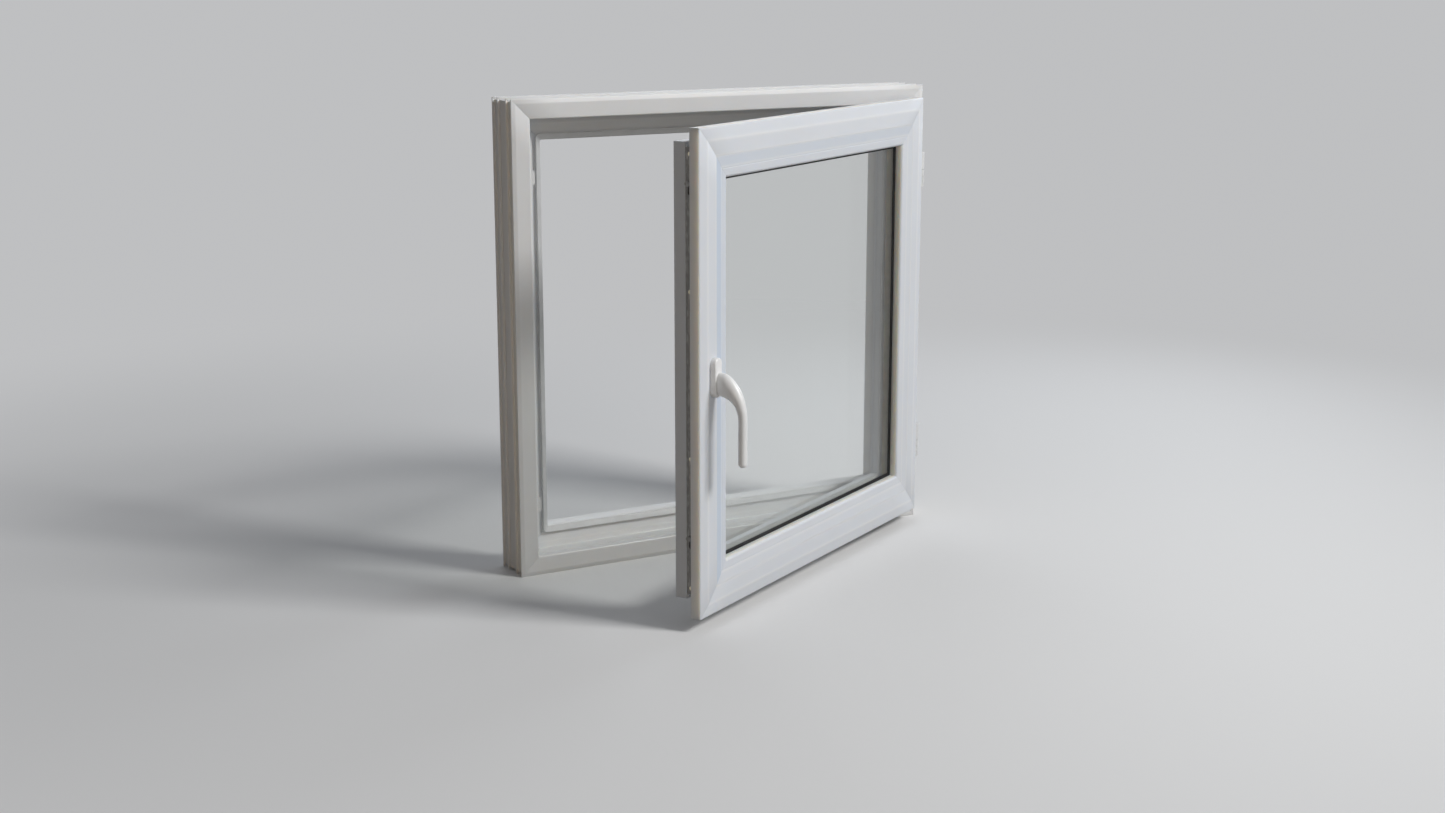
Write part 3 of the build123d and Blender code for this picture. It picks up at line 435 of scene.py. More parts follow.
flap_seal = soft_outline([
    (3.6, 19.9, 0.3), (3.6, 21.6, 0.6), (6.0, 22.6, 0.8), (9.4, 22.6, 0.7), (9.4, 19.9, 0.3),
])
ARM_LOW, ARM_HIGH = 0.2, 30.8
hinge_heights = (150.0, 650.0)
outer_run = [(1, 0, hinge_heights[1] + ARM_HIGH), (1, 1, 0), (-1, 1, 0), (-1, -1, 0), (1, -1, 0),
             (1, 0, hinge_heights[0] + ARM_LOW)]
inner_run = [(1, 0, hinge_heights[0] + ARM_HIGH), (1, 0, hinge_heights[1] + ARM_LOW)]
flap_runs = [open_sash(square_run(flap_seal, *sash_place, run)) for run in (outer_run, inner_run)]
make_piece("seal_on_sash", flap_runs, "sash", "pale_gasket", ["sash_gasket"], crease=50)

square = [(1, 1, 0), (-1, 1, 0), (-1, -1, 0), (1, -1, 0)]
inner_lip = soft_outline([
    (69.5, 16.6, 0.3), (81.0, 16.6, 0.8), (84.2, 17.8, 0.5), (84.5, 18.95, 0.2), (69.5, 18.95, 0.3),
])
outer_lip = soft_outline([
    (69.5, 43.05, 0.3), (80.9, 43.05, 0.2), (81.5, 44.6, 0.5), (80, 46.9, 0.5), (69.5, 46.9, 0.3),
])
glass_seals = {
    "inner_glazing_gasket": (inner_lip, "black_gasket"),
    "outer_glazing_gasket": (outer_lip, "pale_gasket"),
}
for name, (outline, slot) in glass_seals.items():
    make_piece(f"rubber_{name}", [open_sash(square_run(outline, *sash_place, square))], "sash", slot,
               [name], loop=True, crease=40)
print("runs of the sash's seal:", len(flap_runs), "seals round the glass:", len(glass_seals))

# %% [markdown]
# ## The lever
# The lever is a single casting: a deep neck springs out of the base, sweeps over and thins into a round grip
# that hangs straight down. Cones and balls put together would show their joins in the gloss, so it is one
# tube whose centre line, slant, depth and width all change along it. Cubic curves run smoothly through a few
# measured stations, and a half ball closes the tip.

# %% Lever surface
SPINDLE_X, SPINDLE_Z = -343.06, 400.0
GRIP, GRIP_OUT, GRIP_END = 7.1, 52.0, 128.4
# out from the sash, down from the spindle, slant in degrees, half depth, half width
lever_stations = np.array([
    (10.05, 9.3, 0.0, 18.2, 7.6), (21.5, 11.2, 13.3, 18.0, 10.4), (35.8, 20.8, 25.5, 14.0, 10.2),
    (44.6, 32.0, 39.7, 10.5, 8.9), (49.3, 44.0, 58.0, 8.4, 7.7), (51.9, 57.7, 84.0, GRIP, GRIP),
    (GRIP_OUT, 80.0, 90.0, GRIP, GRIP), (GRIP_OUT, 104.0, 90.0, GRIP, GRIP),
    (GRIP_OUT, GRIP_END, 90.0, GRIP, GRIP),
])


def smooth_through(values, count):
    """Cubic curve through evenly numbered stations: between two of them the value follows the four blending
    curves of the end values and of the slopes, which are half the step between the neighbours."""
    slopes = np.gradient(values, axis=0)
    t = np.linspace(0, len(values) - 1, count)
    low = np.minimum(t.astype(int), len(values) - 2)
    f = (t - low)[:, None]
    return (values[low] * (1 + 2 * f) * (1 - f) ** 2 + slopes[low] * f * (1 - f) ** 2
            + values[low + 1] * f * f * (3 - 2 * f) - slopes[low + 1] * f * f * (1 - f))


def lever_grid(around=48, count=90, tip_rows=10):
    """Rings of the lever: centre + half depth x cos along the slanted normal + half width x sin across.
    The tip's rings shrink as the cosine while they move on by the sine, which is half a ball."""
    rings = smooth_through(lever_stations, count)
    ball = np.radians(np.linspace(0, 88, tip_rows + 1)[1:])[:, None]
    tip = np.hstack([np.full_like(ball, GRIP_OUT), GRIP_END + GRIP * np.sin(ball), np.full_like(ball, 90.0),
                     GRIP * np.cos(ball), GRIP * np.cos(ball)])
    out, down, slant, deep, wide = np.vstack([rings, tip]).T[:, :, None]
    slant = np.radians(slant)
    angle = np.linspace(0, 2 * np.pi, around, endpoint=False)[None, :]
    out = out + deep * np.cos(angle) * np.sin(slant)
    down = down - deep * np.cos(angle) * np.cos(slant)
    x = SPINDLE_X + wide * np.sin(angle)
    return np.stack([x, SASH_FACE - out, SPINDLE_Z - down], axis=-1)


lever = make_piece("cast_lever", [open_sash(lever_grid())], "handle", "handle_coat", ["handle_lever"],
                   crease=60)
print("lever points:", len(lever.data.vertices), "from spindle to tip:", GRIP_END + GRIP, "mm")

# %% [markdown]
# ## The handle's base
# The base is a moulded cover with round ends that hides two screws. Seen from the front it is a slot shape,
# and its front edge rolls over in a quarter circle. A solid with a bevel and a hole cut through it could look
# the same. Rings of the slot shape, each drawn in a little more and standing a little further out, make it in
# one sheet that ends at the round hole for the lever.


# %% Base cover
def slot_ring(length, width, count=64):
    """A slot outline as points (up, across): a circle split at its middle and pulled apart lengthwise."""
    angle = (np.arange(count) + 0.5) / count * 2 * np.pi
    up, across = np.cos(angle), np.sin(angle)
    return np.stack([up * width / 2 + np.sign(up) * (length - width) / 2, across * width / 2], axis=1)


def cover_grid(length=62.0, width=20.0, height=10.0, roll=2.6, bore=6.4, foot=(0.35, 0.5), lip=2.5):
    """Rings from the foot of the cover, drawn in and then up by two small steps, up its side, over the rolled
    edge and in to the bore, whose lip goes back down: the roll's inset is r (1 - cos) and its height r sin of
    the same angle."""
    roll_turn = np.radians(np.linspace(0, 90, 9))
    inset = np.concatenate([[foot[0], 0.0], roll * (1 - np.cos(roll_turn))])
    rise = np.concatenate([[0.0, foot[1]], height - roll + roll * np.sin(roll_turn)])
    rings = np.stack([slot_ring(length - 2 * s, width - 2 * s) for s in inset])
    hole = slot_ring(2 * bore, 2 * bore)
    rings = np.concatenate([rings, hole[None], hole[None]])
    rise = np.concatenate([rise, [height, height - lip]])[:, None]
    x, z = SPINDLE_X + rings[..., 1], SPINDLE_Z + rings[..., 0]
    return np.stack([x, np.broadcast_to(SASH_FACE - rise, x.shape), z], axis=-1)


base_cover = make_piece("moulded_handle_base", [open_sash(cover_grid())], "sash", "handle_coat",
                        ["handle_cover"], crease=40)
print("base points:", len(base_cover.data.vertices))

# %% [markdown]
# ## Screws with a cross recess
# Countersunk screws hold the keeps, the lock's faceplate and the hinges. Each is turned about its axis from
# the tip to the rim of the head, and the top of the head is pressed in with a cross. A boolean could cut the
# cross, but a height map keeps the screw in one sheet: the top drops where a point lies close to either of
# two crossed lines, less towards their ends.


# %% One screw
def screw_grid(place, outward, length, radius=2.0, head=3.5, around=32, arm=0.55, span=0.62, sink=1.1):
    """One screw: rings of radius r at height h along its axis. On the top rings the height also falls by
    the cross, a product of a ramp across the arm and a ramp along it: the arm is its half width in mm, the
    span its share of the head's radius, and it sinks by so many mm."""
    # radius and height of the tip, the point, both ends of the shank, the head's edge and its rim
    turned = np.array([
        (0.05, -length), (radius * 0.7, -length + 0.4), (radius, -length + 1.6), (radius, radius - head),
        (head - 0.1, -0.12), (head, -0.02),
    ])
    top = np.linspace(1, 0.02, 12)
    r = np.concatenate([turned[:, 0], head * 0.97 * top])[:, None]
    h = np.concatenate([turned[:, 1], np.zeros(len(top))])[:, None]
    angle = np.linspace(0, 2 * np.pi, around, endpoint=False)[None, :]
    a, b = r * np.cos(angle), r * np.sin(angle)
    near = np.minimum(np.abs(a), np.abs(b)) / arm
    far = np.maximum(np.abs(a), np.abs(b)) / (span * head)
    cross = np.clip(1.6 - 1.6 * near, 0, 1) * np.clip(2.4 - 2.4 * far, 0, 1)
    on_top = (np.arange(len(r)) >= len(turned))[:, None]
    h = h - np.where(on_top, sink * cross, 0)
    outward = np.array(outward, dtype=float)
    side = np.array((0.0, 0.0, 1.0))
    third = np.cross(outward, side)
    return np.array(place) + a[..., None] * side + b[..., None] * third + h[..., None] * outward


print("points of one screw:", screw_grid((0, 0, 0), (1, 0, 0), 18.0)[..., 0].size)

# %% [markdown]
# ## Where the screws sit
# One node of the CAD model holds a whole group of screws, so each group is one piece too. It has its places,
# the way its heads face, its length, the body that carries it, and the turn that its body makes.


# %% All the screws
def as_is(points):
    """Pieces of the frame stay where they are."""
    return points


keep_places = [(-365.0, 12.5, z + rise) for z in (136.0, 686.0) for rise in (-16.0, 16.0)]
block_places = [(HINGE_X, -17.7, z - drop) for z in hinge_heights for drop in (15.0, 25.0)]
leaf_places = [(358.5, 25.0, z + rise) for z in hinge_heights for rise in (-18.0, 5.0, 24.0)]
plate_places = [(-356.0, 10.0, z) for z in (62.0, 270.0, 530.0, 738.0)]
screw_groups = {
    "keep_screws": (keep_places, (1, 0, 0), 18.0, "frame", as_is),
    "hinge_block_screws": (block_places, (0, -1, 0), 36.0, "frame", as_is),
    "hinge_leaf_screws": (leaf_places, (1, 0, 0), 18.0, "sash", open_sash),
    "faceplate_screws": (plate_places, (-1, 0, 0), 18.0, "sash", open_sash),
}
for node, (places, outward, length, body, turn) in screw_groups.items():
    make_piece(f"cross_{node}", [turn(screw_grid(place, outward, length)) for place in places], body,
               "bright_steel", [node], crease=45)
print("screws:", sum(len(group[0]) for group in screw_groups.values()))

# %% [markdown]
# ## Metal hardware with eased edges
# Hinges, keeps, cams and the lock's faceplate are pressed or cast, then plated or coated, so their edges are
# slightly round. Their CAD shapes are right as they are, and drawing them again would gain nothing. A copy of
# each is joined up into one skin, flat triangles are dissolved, and a bevel modifier eases the edges.


# %% Eased copies of CAD nodes
def eased(node, body, slot, width, crease=40):
    """A copy of a CAD node's mesh with its corners merged and its sharp edges bevelled by a width in mm."""
    skin = bmesh.new()
    skin.from_mesh(nodes[node].data)
    bmesh.ops.remove_doubles(skin, verts=skin.verts, dist=2e-6)
    bmesh.ops.dissolve_limit(skin, angle_limit=radians(1.0), verts=skin.verts, edges=skin.edges)
    mesh = bpy.data.meshes.new(f"eased_{node}")
    skin.to_mesh(mesh)
    skin.free()
    piece = finish_piece(f"eased_{node}", mesh, body, slot, [node], crease)
    bevel = piece.modifiers.new("eased edges", "BEVEL")
    bevel.width, bevel.segments = width / 1000.0, 2
    bevel.limit_method, bevel.angle_limit = "ANGLE", radians(50)
    bevel.harden_normals = True
    return piece


eased_nodes = {
    "upper_hinge_block": ("frame", "white_coated_metal", 0.5),
    "lower_hinge_block": ("frame", "white_coated_metal", 0.5),
    "upper_hinge_leaf": ("sash", "white_coated_metal", 0.4),
    "lower_hinge_leaf": ("sash", "white_coated_metal", 0.4),
    "hinge_screw_caps": ("frame", "frame_plastic", 0.3),
    "upper_keep": ("frame", "white_coated_metal", 0.4),
    "lower_keep": ("frame", "white_coated_metal", 0.4),
    "lock_faceplate": ("sash", "zinc_hardware", 0.15),
    "locking_cams": ("rod", "zinc_hardware", 0.35),
}
eased_pieces = [eased(node, *values) for node, values in eased_nodes.items()]
print("eased pieces:", len(eased_pieces))

# %% [markdown]
# ## Effects that finishes share
# Real surfaces are never one flat colour. Three effects repeat across the finishes here. Each material could
# hold its own nodes for them, but a node group with inputs is made once and tuned where it is used. It gives
# a mask, and each material decides what to do with it. The first is a soft cloudiness: noise in Object space,
# which needs no UV map.


# %% Soft clouds
def new_group(name, inputs, output):
    """An empty shader group with float inputs (name: default) and one float output."""
    tree = bpy.data.node_groups.new(name, "ShaderNodeTree")
    for label, value in inputs.items():
        socket = tree.interface.new_socket(label, in_out="INPUT", socket_type="NodeSocketFloat")
        socket.default_value = value
    tree.interface.new_socket(output, in_out="OUTPUT", socket_type="NodeSocketFloat")
    return tree, tree.nodes.new("NodeGroupInput"), tree.nodes.new("NodeGroupOutput")


def ramp_between(tree, source, low, high):
    """A smooth step of a value from 0 at low to 1 at high."""
    step = tree.nodes.new("ShaderNodeMapRange")
    step.interpolation_type = "SMOOTHSTEP"
    step.inputs["From Min"].default_value, step.inputs["From Max"].default_value = low, high
    tree.links.new(source, step.inputs["Value"])
    return step.outputs["Result"]


def cloud_group():
    """Soft clouds in Object space: noise of a given scale and detail, stretched between two limits."""
    tree, given, result = new_group("soft clouds", {"Scale": 20.0, "Detail": 3.0}, "Mask")
    place, noise = tree.nodes.new("ShaderNodeTexCoord"), tree.nodes.new("ShaderNodeTexNoise")
    tree.links.new(place.outputs["Object"], noise.inputs["Vector"])
    tree.links.new(given.outputs["Scale"], noise.inputs["Scale"])
    tree.links.new(given.outputs["Detail"], noise.inputs["Detail"])
    tree.links.new(ramp_between(tree, noise.outputs["Fac"], 0.3, 0.7), result.inputs["Mask"])
    return tree


CLOUDS = cloud_group()
print("group:", CLOUDS.name)

# %% [markdown]
# ### Lines from the die
# A die leaves fine lines along every extruded length. Stretched noise in Object space would run one way on
# all four lengths. The UV map knows which way each of them runs, so this group reads its noise from there.


# %% Die lines
def die_line_group():
    """Lines along a length: noise read from the UV map, fine round the profile and long along it."""
    tree, given, result = new_group("die lines", {"Lines": 900.0, "Stretch": 3.0}, "Mask")
    uv, split = tree.nodes.new("ShaderNodeUVMap"), tree.nodes.new("ShaderNodeSeparateXYZ")
    fine, long_way = tree.nodes.new("ShaderNodeMath"), tree.nodes.new("ShaderNodeMath")
    join, noise = tree.nodes.new("ShaderNodeCombineXYZ"), tree.nodes.new("ShaderNodeTexNoise")
    fine.operation = long_way.operation = "MULTIPLY"
    uv.uv_map = "UVMap"
    noise.inputs["Scale"].default_value, noise.inputs["Detail"].default_value = 1.0, 2.0
    tree.links.new(uv.outputs["UV"], split.inputs["Vector"])
    tree.links.new(split.outputs["X"], fine.inputs[0])
    tree.links.new(given.outputs["Lines"], fine.inputs[1])
    tree.links.new(split.outputs["Y"], long_way.inputs[0])
    tree.links.new(given.outputs["Stretch"], long_way.inputs[1])
    tree.links.new(fine.outputs["Value"], join.inputs["X"])
    tree.links.new(long_way.outputs["Value"], join.inputs["Y"])
    tree.links.new(join.outputs["Vector"], noise.inputs["Vector"])
    tree.links.new(ramp_between(tree, noise.outputs["Fac"], 0.25, 0.75), result.inputs["Mask"])
    return tree


DIE_LINES = die_line_group()
print("group:", DIE_LINES.name)

# %% [markdown]
# ### Patches of plating
# A plated surface is made of crystals, seen as broken patches of lighter and darker grey. Voronoi cells alone
# would look like tiles, so noise is mixed in to break them up.


# %% Plated patches
def patch_group():
    """Broken patches: cells of different grey, blurred by mixing with noise."""
    tree, given, result = new_group("plated patches", {"Scale": 150.0, "Break": 0.6}, "Mask")
    place = tree.nodes.new("ShaderNodeTexCoord")
    cells, noise = tree.nodes.new("ShaderNodeTexVoronoi"), tree.nodes.new("ShaderNodeTexNoise")
    split, blend = tree.nodes.new("ShaderNodeSeparateColor"), tree.nodes.new("ShaderNodeMix")
    noise.inputs["Detail"].default_value = 4.0
    tree.links.new(place.outputs["Object"], cells.inputs["Vector"])
    tree.links.new(place.outputs["Object"], noise.inputs["Vector"])
    tree.links.new(given.outputs["Scale"], cells.inputs["Scale"])
    tree.links.new(given.outputs["Scale"], noise.inputs["Scale"])
    tree.links.new(cells.outputs["Color"], split.inputs["Color"])
    tree.links.new(given.outputs["Break"], blend.inputs["Factor"])
    tree.links.new(split.outputs["Red"], blend.inputs["A"])
    tree.links.new(noise.outputs["Fac"], blend.inputs["B"])
    tree.links.new(ramp_between(tree, blend.outputs["Result"], 0.2, 0.8), result.inputs["Mask"])
    return tree


PATCHES = patch_group()
print("group:", PATCHES.name)

# %% [markdown]
# ## Finishes
# A material is one Principled shader. Pictures could colour it, but nodes stay sharp from close by and can be
# tuned. The colour runs between two close tones by a mask, the roughness between two values by the same or
# another mask, and a faint bump comes from the mask as well. Values that are the same all over sit on the
# shader itself.


# %% Building a material
def new_finish(name):
    """A material with one Principled shader; gives the material, its tree and the shader."""
    material = bpy.data.materials.new(name)
    material.use_nodes = True
    return material, material.node_tree, material.node_tree.nodes["Principled BSDF"]


def mask_from(tree, group, **values):
    """Place a shared effect in a material, with its own values, and give its mask."""
    node = tree.nodes.new("ShaderNodeGroup")
    node.node_tree = group
    for label, value in values.items():
        node.inputs[label].default_value = value
    return node.outputs["Mask"]


def mixed_colour(tree, factor, first, second):
    """A colour that goes from the first to the second with a factor."""
    mix = tree.nodes.new("ShaderNodeMix")
    mix.data_type = "RGBA"
    mix.inputs["A"].default_value, mix.inputs["B"].default_value = (*first, 1), (*second, 1)
    tree.links.new(factor, mix.inputs["Factor"])
    return mix.outputs["Result"]


def colour_between(tree, shader, mask, dark, light):
    """Base colour mixed from two tones by a mask."""
    tree.links.new(mixed_colour(tree, mask, dark, light), shader.inputs["Base Color"])


def value_between(tree, socket, mask, low, high):
    """A shader value that runs from low to high with a mask."""
    step = tree.nodes.new("ShaderNodeMapRange")
    step.inputs["To Min"].default_value, step.inputs["To Max"].default_value = low, high
    tree.links.new(mask, step.inputs["Value"])
    tree.links.new(step.outputs["Result"], socket)


def rough_between(tree, shader, mask, low, high):
    """Roughness read from a mask, between two values."""
    value_between(tree, shader.inputs["Roughness"], mask, low, high)


def bump_from(tree, shader, mask, height):
    """A bump of a height in metres from a mask."""
    bump = tree.nodes.new("ShaderNodeBump")
    bump.inputs["Strength"].default_value, bump.inputs["Distance"].default_value = 1.0, height
    tree.links.new(mask, bump.inputs["Height"])
    tree.links.new(bump.outputs["Normal"], shader.inputs["Normal"])


print("helpers for tone, roughness and bump are ready")

# %% [markdown]
# ### Finishes that know the edges
# Where a piece stores a weight on its points, an Attribute node reads it back. Each edge could have
# a material of its own, with a hard line where two meet. A weight moves the colour on towards another tone
# by degrees. The weights here paint light and shade into the colour: highlights, a glow and shade.


# %% Reading weights
def stored_weight(tree, label):
    """The weight that a piece stores on its points under a label, and 0 where it stores none."""
    weight = tree.nodes.new("ShaderNodeAttribute")
    weight.attribute_name = label
    return weight.outputs["Fac"]


def tone_by_weight(tree, shader, label, tone, amount):
    """Move the base colour towards a tone where the stored weight is high."""
    scaled = tree.nodes.new("ShaderNodeMath")
    scaled.operation = "MULTIPLY"
    scaled.inputs[1].default_value = amount
    tree.links.new(stored_weight(tree, label), scaled.inputs[0])
    mix = tree.nodes.new("ShaderNodeMix")
    mix.data_type = "RGBA"
    mix.inputs["B"].default_value = (*tone, 1)
    tree.links.new(scaled.outputs["Value"], mix.inputs["Factor"])
    tree.links.new(shader.inputs["Base Color"].links[0].from_socket, mix.inputs["A"])
    tree.links.new(mix.outputs["Result"], shader.inputs["Base Color"])


print("helpers for weights are ready")

# %% [markdown]
# ### White plastic
# Window plastic is filled with white pigment, a little see-through at its thin edges, with a satin skin.
# A plain white would look like paint. Light enters the real one and comes out a few millimetres on, which is
# why a window's edges glow. Subsurface scattering does that. The creamy glow of light that has gone through
# the thin wall behind an edge is painted into the colour. So are a painted highlight on the ridges and a
# painted shade, cooler and darker, on the beads at the left and the top. The die leaves faint lines along
# each length. Coated handles and hinges are smoother, with no die lines, and the handle has a clear lacquer.


# %% White finishes
# Tones of painted shade, painted highlight on the ridges and painted creamy glow on the sides.
PAINTED_SHADE_BLUE, PAINTED_HIGHLIGHT_WHITE, PAINTED_GLOW_CREAM = (0.62, 0.69, 0.79), (0.9, 0.9, 0.9), (0.98, 0.925, 0.845)


def window_plastic(name, dark, light, glows):
    """Satin white plastic: cloudy tone, painted shade on two beads, a painted highlight on the ridges, a
    painted creamy glow on the sides behind the front edges, die lines in roughness and bump, and light that
    spreads inside, deeper where a glowing piece stores a weight."""
    material, tree, shader = new_finish(name)
    colour_between(tree, shader, mask_from(tree, CLOUDS, Scale=9.0, Detail=4.0), dark, light)
    # Painted shade on two beads, a painted highlight on the ridges, and a painted creamy glow of light
    # through the sides.
    tone_by_weight(tree, shader, "cool", PAINTED_SHADE_BLUE, 1.0)
    tone_by_weight(tree, shader, "edge", PAINTED_HIGHLIGHT_WHITE, 0.45)
    tone_by_weight(tree, shader, "side", PAINTED_GLOW_CREAM, 1.0)
    lines = mask_from(tree, DIE_LINES, Lines=700.0, Stretch=1.0)
    rough_between(tree, shader, lines, 0.415, 0.44)
    bump_from(tree, shader, lines, 0.0000007)
    for label, plain, full in (("Subsurface Weight", 0.4, 0.95), ("Subsurface Scale", 0.004, 0.014)):
        shader.inputs[label].default_value = plain
        if glows:
            value_between(tree, shader.inputs[label], stored_weight(tree, "glow"), plain, full)
    shader.inputs["Subsurface Radius"].default_value = (1.0, 0.85, 0.7)
    shader.inputs["IOR"].default_value = 1.53
    return material


def smooth_coat(name, dark, light, low, high, lacquer):
    """Sprayed or moulded white: fine cloudiness in tone, an orange-peel bump, a glossier skin, and a share
    of clear lacquer on top."""
    material, tree, shader = new_finish(name)
    colour_between(tree, shader, mask_from(tree, CLOUDS, Scale=40.0, Detail=2.0), dark, light)
    peel = mask_from(tree, CLOUDS, Scale=900.0, Detail=1.0)
    rough_between(tree, shader, peel, low, high)
    bump_from(tree, shader, peel, 0.000006)
    shader.inputs["Specular IOR Level"].default_value = 0.8
    shader.inputs["Coat Weight"].default_value = lacquer
    shader.inputs["Coat Roughness"].default_value = 0.3
    return material


finishes = {
    "frame_plastic": window_plastic("frame plastic", (0.79, 0.792, 0.795), (0.81, 0.812, 0.815), False),
    "sash_plastic": window_plastic("sash plastic", (0.748, 0.773, 0.816), (0.762, 0.787, 0.83), True),
    "white_coated_metal": smooth_coat(
        "hinge coat", (0.76, 0.765, 0.77), (0.80, 0.805, 0.81), 0.24, 0.34, 0.0),
    "handle_coat": smooth_coat(
        "handle coat", (0.90, 0.90, 0.90), (0.92, 0.92, 0.92), 0.38, 0.44, 0.45),
}
print("white finishes:", list(finishes))

# %% [markdown]
# ### Rubber, sealant and small plastic pieces
# Seals are matt, with a slight bloom that lifts their tone in clouds. The bar that holds the two panes apart
# is lacquered pale, and the packers under the glass are plain moulded plastic. They differ only in tone,
# grain and gloss, so one function makes all five.


# %% Matt finishes
def matt(name, dark, light, scale, low, high, height):
    """Matt rubber or plastic: cloudy tone, cloudy roughness and a fine bump."""
    material, tree, shader = new_finish(name)
    colour_between(tree, shader, mask_from(tree, CLOUDS, Scale=scale, Detail=4.0), dark, light)
    grain = mask_from(tree, CLOUDS, Scale=scale * 25, Detail=2.0)
    rough_between(tree, shader, grain, low, high)
    bump_from(tree, shader, grain, height)
    return material


finishes |= {
    "pale_gasket": matt(
        "pale seal rubber", (0.60, 0.605, 0.61), (0.65, 0.655, 0.66), 30.0, 0.45, 0.55, 0.000004),
    "black_gasket": matt(
        "black seal rubber", (0.008, 0.008, 0.009), (0.02, 0.02, 0.021), 40.0, 0.42, 0.6, 0.00002),
    "spacer_aluminium": matt(
        "lacquered spacer", (0.60, 0.605, 0.61), (0.68, 0.685, 0.69), 60.0, 0.4, 0.5, 0.000006),
    "edge_sealant": matt(
        "edge sealant", (0.012, 0.012, 0.013), (0.03, 0.03, 0.03), 60.0, 0.6, 0.8, 0.00005),
    "packer_plastic": matt(
        "packer plastic", (0.42, 0.44, 0.45), (0.5, 0.52, 0.53), 50.0, 0.4, 0.5, 0.00002),
}
black_shader = finishes["black_gasket"].node_tree.nodes["Principled BSDF"]
black_shader.inputs["Specular IOR Level"].default_value = 0.2
print("finishes with the matt ones:", len(finishes))

# %% [markdown]
# ### Stained zinc
# The lock's faceplate is zinc plated and passivated: a dull grey on which the bath has dried in long rounded
# stains with soft dark rims. Noise alone gives clouds without rims. Cells of a stretched Voronoi pattern give
# the stains, and the distance to a cell's border gives the rim.


# %% Dull zinc
def stained_zinc(name, rim, plate):
    """Dull plate with rims: noise bends the place, the cells are taller than wide, and the distance to a
    cell's border, through a smooth step, runs from the dark rim to the plate's own tone."""
    material, tree, shader = new_finish(name)
    place, bend, shift, cells = [tree.nodes.new(kind) for kind in (
        "ShaderNodeTexCoord", "ShaderNodeTexNoise", "ShaderNodeVectorMath", "ShaderNodeTexVoronoi")]
    stretch = tree.nodes.new("ShaderNodeMapping")
    bend.inputs["Scale"].default_value = 70.0
    shift.operation = "MULTIPLY_ADD"
    shift.inputs[1].default_value = (0.016, 0.016, 0.016)
    stretch.inputs["Scale"].default_value = (120.0, 120.0, 55.0)
    cells.feature = "DISTANCE_TO_EDGE"
    cells.inputs["Scale"].default_value = 1.0
    tree.links.new(place.outputs["Object"], bend.inputs["Vector"])
    tree.links.new(bend.outputs["Color"], shift.inputs[0])
    tree.links.new(place.outputs["Object"], shift.inputs[2])
    tree.links.new(shift.outputs["Vector"], stretch.inputs["Vector"])
    tree.links.new(stretch.outputs["Vector"], cells.inputs["Vector"])
    mask = ramp_between(tree, cells.outputs["Distance"], 0.0, 0.32)
    colour_between(tree, shader, mask, rim, plate)
    rough_between(tree, shader, mask, 0.54, 0.48)
    bump_from(tree, shader, mask, 0.000004)
    shader.inputs["Metallic"].default_value = 1.0
    return material


finishes["zinc_hardware"] = stained_zinc("dull zinc", (0.15, 0.144, 0.136), (0.215, 0.208, 0.198))
print("finishes with the zinc:", len(finishes))

# %% [markdown]
# ### Plated and galvanised steel
# Screws and pins are brighter than the faceplate, with the yellow of another bath. The reinforcement is
# hot-dip galvanised, with the larger crystals that leaves. Both come from the patches, at other scales.


# %% Plated steel
def plated(name, dark, light, scale, breaks, low, high, height):
    """Plated metal: patches drive tone, roughness and a faint relief."""
    material, tree, shader = new_finish(name)
    patches = mask_from(tree, PATCHES, Scale=scale, Break=breaks)
    colour_between(tree, shader, patches, dark, light)
    rough_between(tree, shader, patches, high, low)
    bump_from(tree, shader, patches, height)
    shader.inputs["Metallic"].default_value = 1.0
    return material


finishes |= {
    "bright_steel": plated(
        "yellow zinc", (0.52, 0.46, 0.33), (0.70, 0.63, 0.47), 400.0, 0.7, 0.22, 0.36, 0.000008),
    "galvanised_steel": plated(
        "galvanised", (0.42, 0.43, 0.44), (0.62, 0.63, 0.64), 90.0, 0.2, 0.3, 0.45, 0.00001),
}
print("finishes with the plated steel:", len(finishes))

# %% [markdown]
# ### Glass
# Float glass is clear, with the faint green that iron gives it. Both panes are real slabs that bend light at
# each face. Lamps would be stopped by such a slab, so rays that carry light meet a clear, slightly grey
# shader in its place.


# %% Glass finish
def float_glass(name):
    """Clear glass with faint smears in its roughness; rays that carry light pass straight on."""
    material, tree, shader = new_finish(name)
    shader.inputs["Base Color"].default_value = (0.975, 0.985, 0.98, 1)
    shader.inputs["Transmission Weight"].default_value = 1.0
    shader.inputs["IOR"].default_value = 1.5
    rough_between(tree, shader, mask_from(tree, CLOUDS, Scale=12.0, Detail=5.0), 0.0, 0.012)
    clear, mix = tree.nodes.new("ShaderNodeBsdfTransparent"), tree.nodes.new("ShaderNodeMixShader")
    clear.inputs["Color"].default_value = (0.89, 0.895, 0.89, 1)
    path, either = tree.nodes.new("ShaderNodeLightPath"), tree.nodes.new("ShaderNodeMath")
    either.operation = "MAXIMUM"
    tree.links.new(path.outputs["Is Shadow Ray"], either.inputs[0])
    tree.links.new(path.outputs["Is Diffuse Ray"], either.inputs[1])
    tree.links.new(either.outputs["Value"], mix.inputs["Fac"])
    tree.links.new(shader.outputs["BSDF"], mix.inputs[1])
    tree.links.new(clear.outputs["BSDF"], mix.inputs[2])
    tree.links.new(mix.outputs["Shader"], tree.nodes["Material Output"].inputs["Surface"])
    return material


finishes["glass"] = float_glass("float glass")
print("finishes in all:", len(finishes))

# %% [markdown]
# ## Put the finishes on
# New pieces know their slot, and a CAD node's slot stands in the record, so one loop dresses everything.

# %% Dress every piece
node_slots = {entry["node"]: entry["material_slot"] for entry in frame["record"]["subparts"]}
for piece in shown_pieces():
    slot = piece.get("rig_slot") or node_slots[piece["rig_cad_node"]]
    piece.data.materials.clear()
    piece.data.materials.append(finishes[slot])

